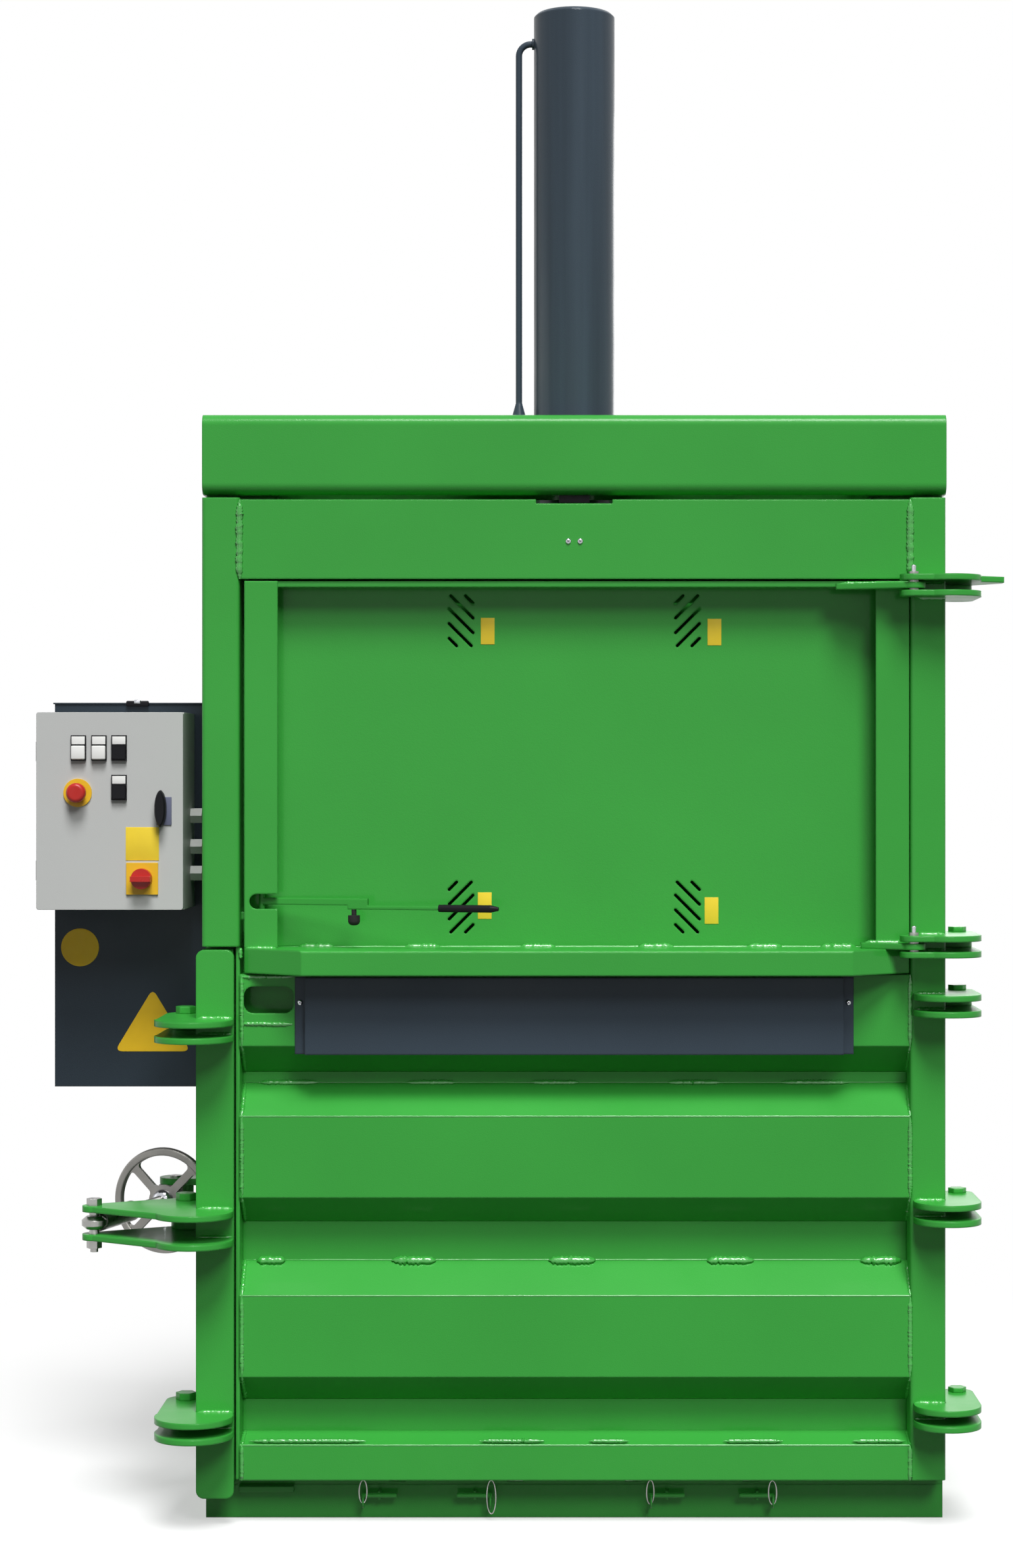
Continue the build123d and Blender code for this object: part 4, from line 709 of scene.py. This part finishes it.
for piece in (wing, stem, catch):
    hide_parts("swing_handle")
soft_plate("wing_handle_seat", (wing_middle.x - 0.010, box_face_y - 0.0025, wing_middle.z - 0.034),
           (wing_middle.x + 0.021, box_face_y, wing_middle.z + 0.024), 0.001, blue_grey, "control_door")


# Stage, light and camera
floor_half = 30.0
floor_white = 0.95
floor_dim = 0.08
world_dim = 0.06
shadow_near, shadow_far = 0.9, 2.6
shadow_glow = 0.5


def seen_rays(tree):
    """1 for rays that show the background: from the camera, in a reflection or through glass."""
    path = tree.nodes.new("ShaderNodeLightPath")
    value = path.outputs["Is Camera Ray"]
    for name in ("Is Glossy Ray", "Is Transmission Ray"):
        either = tree.nodes.new("ShaderNodeMath")
        either.operation = "MAXIMUM"
        tree.links.new(value, either.inputs[0])
        tree.links.new(path.outputs[name], either.inputs[1])
        value = either.outputs["Value"]
    return value


def blend(tree, factor, first, second):
    """A mix of two shaders."""
    node = tree.nodes.new("ShaderNodeMixShader")
    tree.links.new(factor, node.inputs["Fac"])
    tree.links.new(first, node.inputs[1])
    tree.links.new(second, node.inputs[2])
    return node.outputs["Shader"]


def plain_diffuse(tree, value):
    """A grey matt shader."""
    node = tree.nodes.new("ShaderNodeBsdfDiffuse")
    node.inputs["Color"].default_value = (value, value, value, 1.0)
    return node.outputs["BSDF"]


floor_bm = bmesh.new()
bmesh.ops.create_grid(floor_bm, x_segments=1, y_segments=1, size=floor_half)
floor = bpy.data.objects.new("floor", mesh_from("floor", floor_bm))
bpy.context.scene.collection.objects.link(floor)
floor_look = bpy.data.materials.new("white_floor")
floor_look.use_nodes = True
floor.data.materials.append(floor_look)

# The floor takes the shadow close to the object and fades to white further off
tree = floor_look.node_tree
place = tree.nodes.new("ShaderNodeTexCoord")
distance = tree.nodes.new("ShaderNodeVectorMath")
distance.operation = "LENGTH"
tree.links.new(place.outputs["Object"], distance.inputs[0])
fade = tree.nodes.new("ShaderNodeMapRange")
fade.inputs["From Min"].default_value = shadow_near
fade.inputs["From Max"].default_value = shadow_far
fade.inputs["To Min"].default_value = shadow_glow
tree.links.new(distance.outputs["Value"], fade.inputs["Value"])
glow = tree.nodes.new("ShaderNodeEmission")
white_floor = blend(tree, fade.outputs["Result"], plain_diffuse(tree, floor_white), glow.outputs["Emission"])
whole_floor = blend(tree, seen_rays(tree), plain_diffuse(tree, floor_dim), white_floor)
tree.links.new(whole_floor, tree.nodes["Material Output"].inputs["Surface"])

world = bpy.data.worlds.new("studio")
bpy.context.scene.world = world
world.use_nodes = True
tree = world.node_tree
background = tree.nodes["Background"]
background.inputs["Color"].default_value = (1.0, 1.0, 1.0, 1.0)
strength = tree.nodes.new("ShaderNodeMix")
strength.data_type = "FLOAT"
strength.inputs["A"].default_value = world_dim
strength.inputs["B"].default_value = 1.0
tree.links.new(seen_rays(tree), strength.inputs["Factor"])
tree.links.new(strength.outputs["Result"], background.inputs["Strength"])


def add_light(name, kind, place, target, power):
    """A lamp at a place, aimed at a target."""
    data = bpy.data.lights.new(name, kind)
    data.energy = power
    obj = bpy.data.objects.new(name, data)
    obj.location = place
    obj.rotation_euler = (Vector(target) - Vector(place)).to_track_quat("-Z", "Y").to_euler()
    bpy.context.scene.collection.objects.link(obj)
    return data


sun_target = (0, 0, 1.0)
fill_target = (0, 0, 1.2)
add_light("high_light", "SUN", (0.42, -2.97, 6.20), sun_target, 3.1).angle = math.radians(20)
add_light("low_light", "SUN", (1.60, -4.40, 4.75), sun_target, 1.15).angle = math.radians(18)
fills = [("front_fill", (-0.8, -6.5, 1.9), 16), ("back_fill", (1.5, 5.5, 3.0), 80),
         ("side_fill", (-6.0, 0.5, 2.4), 27)]
for name, place, power in fills:
    fill = add_light(name, "AREA", place, fill_target, power)
    fill.shape = "RECTANGLE"
    fill.size, fill.size_y = 4.0, 2.4

camera_data = bpy.data.cameras.new("camera")
camera_data.sensor_fit = "VERTICAL"
camera_data.sensor_height = sensor_height_mm
camera_data.lens = sensor_height_mm * focal_px / frame_height_px
camera_data.shift_x = principal_offset_px[0] / frame_height_px
camera_data.shift_y = principal_offset_px[1] / frame_height_px
camera = bpy.data.objects.new("camera", camera_data)
camera.location = (0, face_y - camera_distance, camera_height)
camera.rotation_euler = (math.radians(90), 0, 0)
bpy.context.scene.collection.objects.link(camera)
bpy.context.scene.camera = camera
bpy.context.scene.view_settings.view_transform = "Standard"
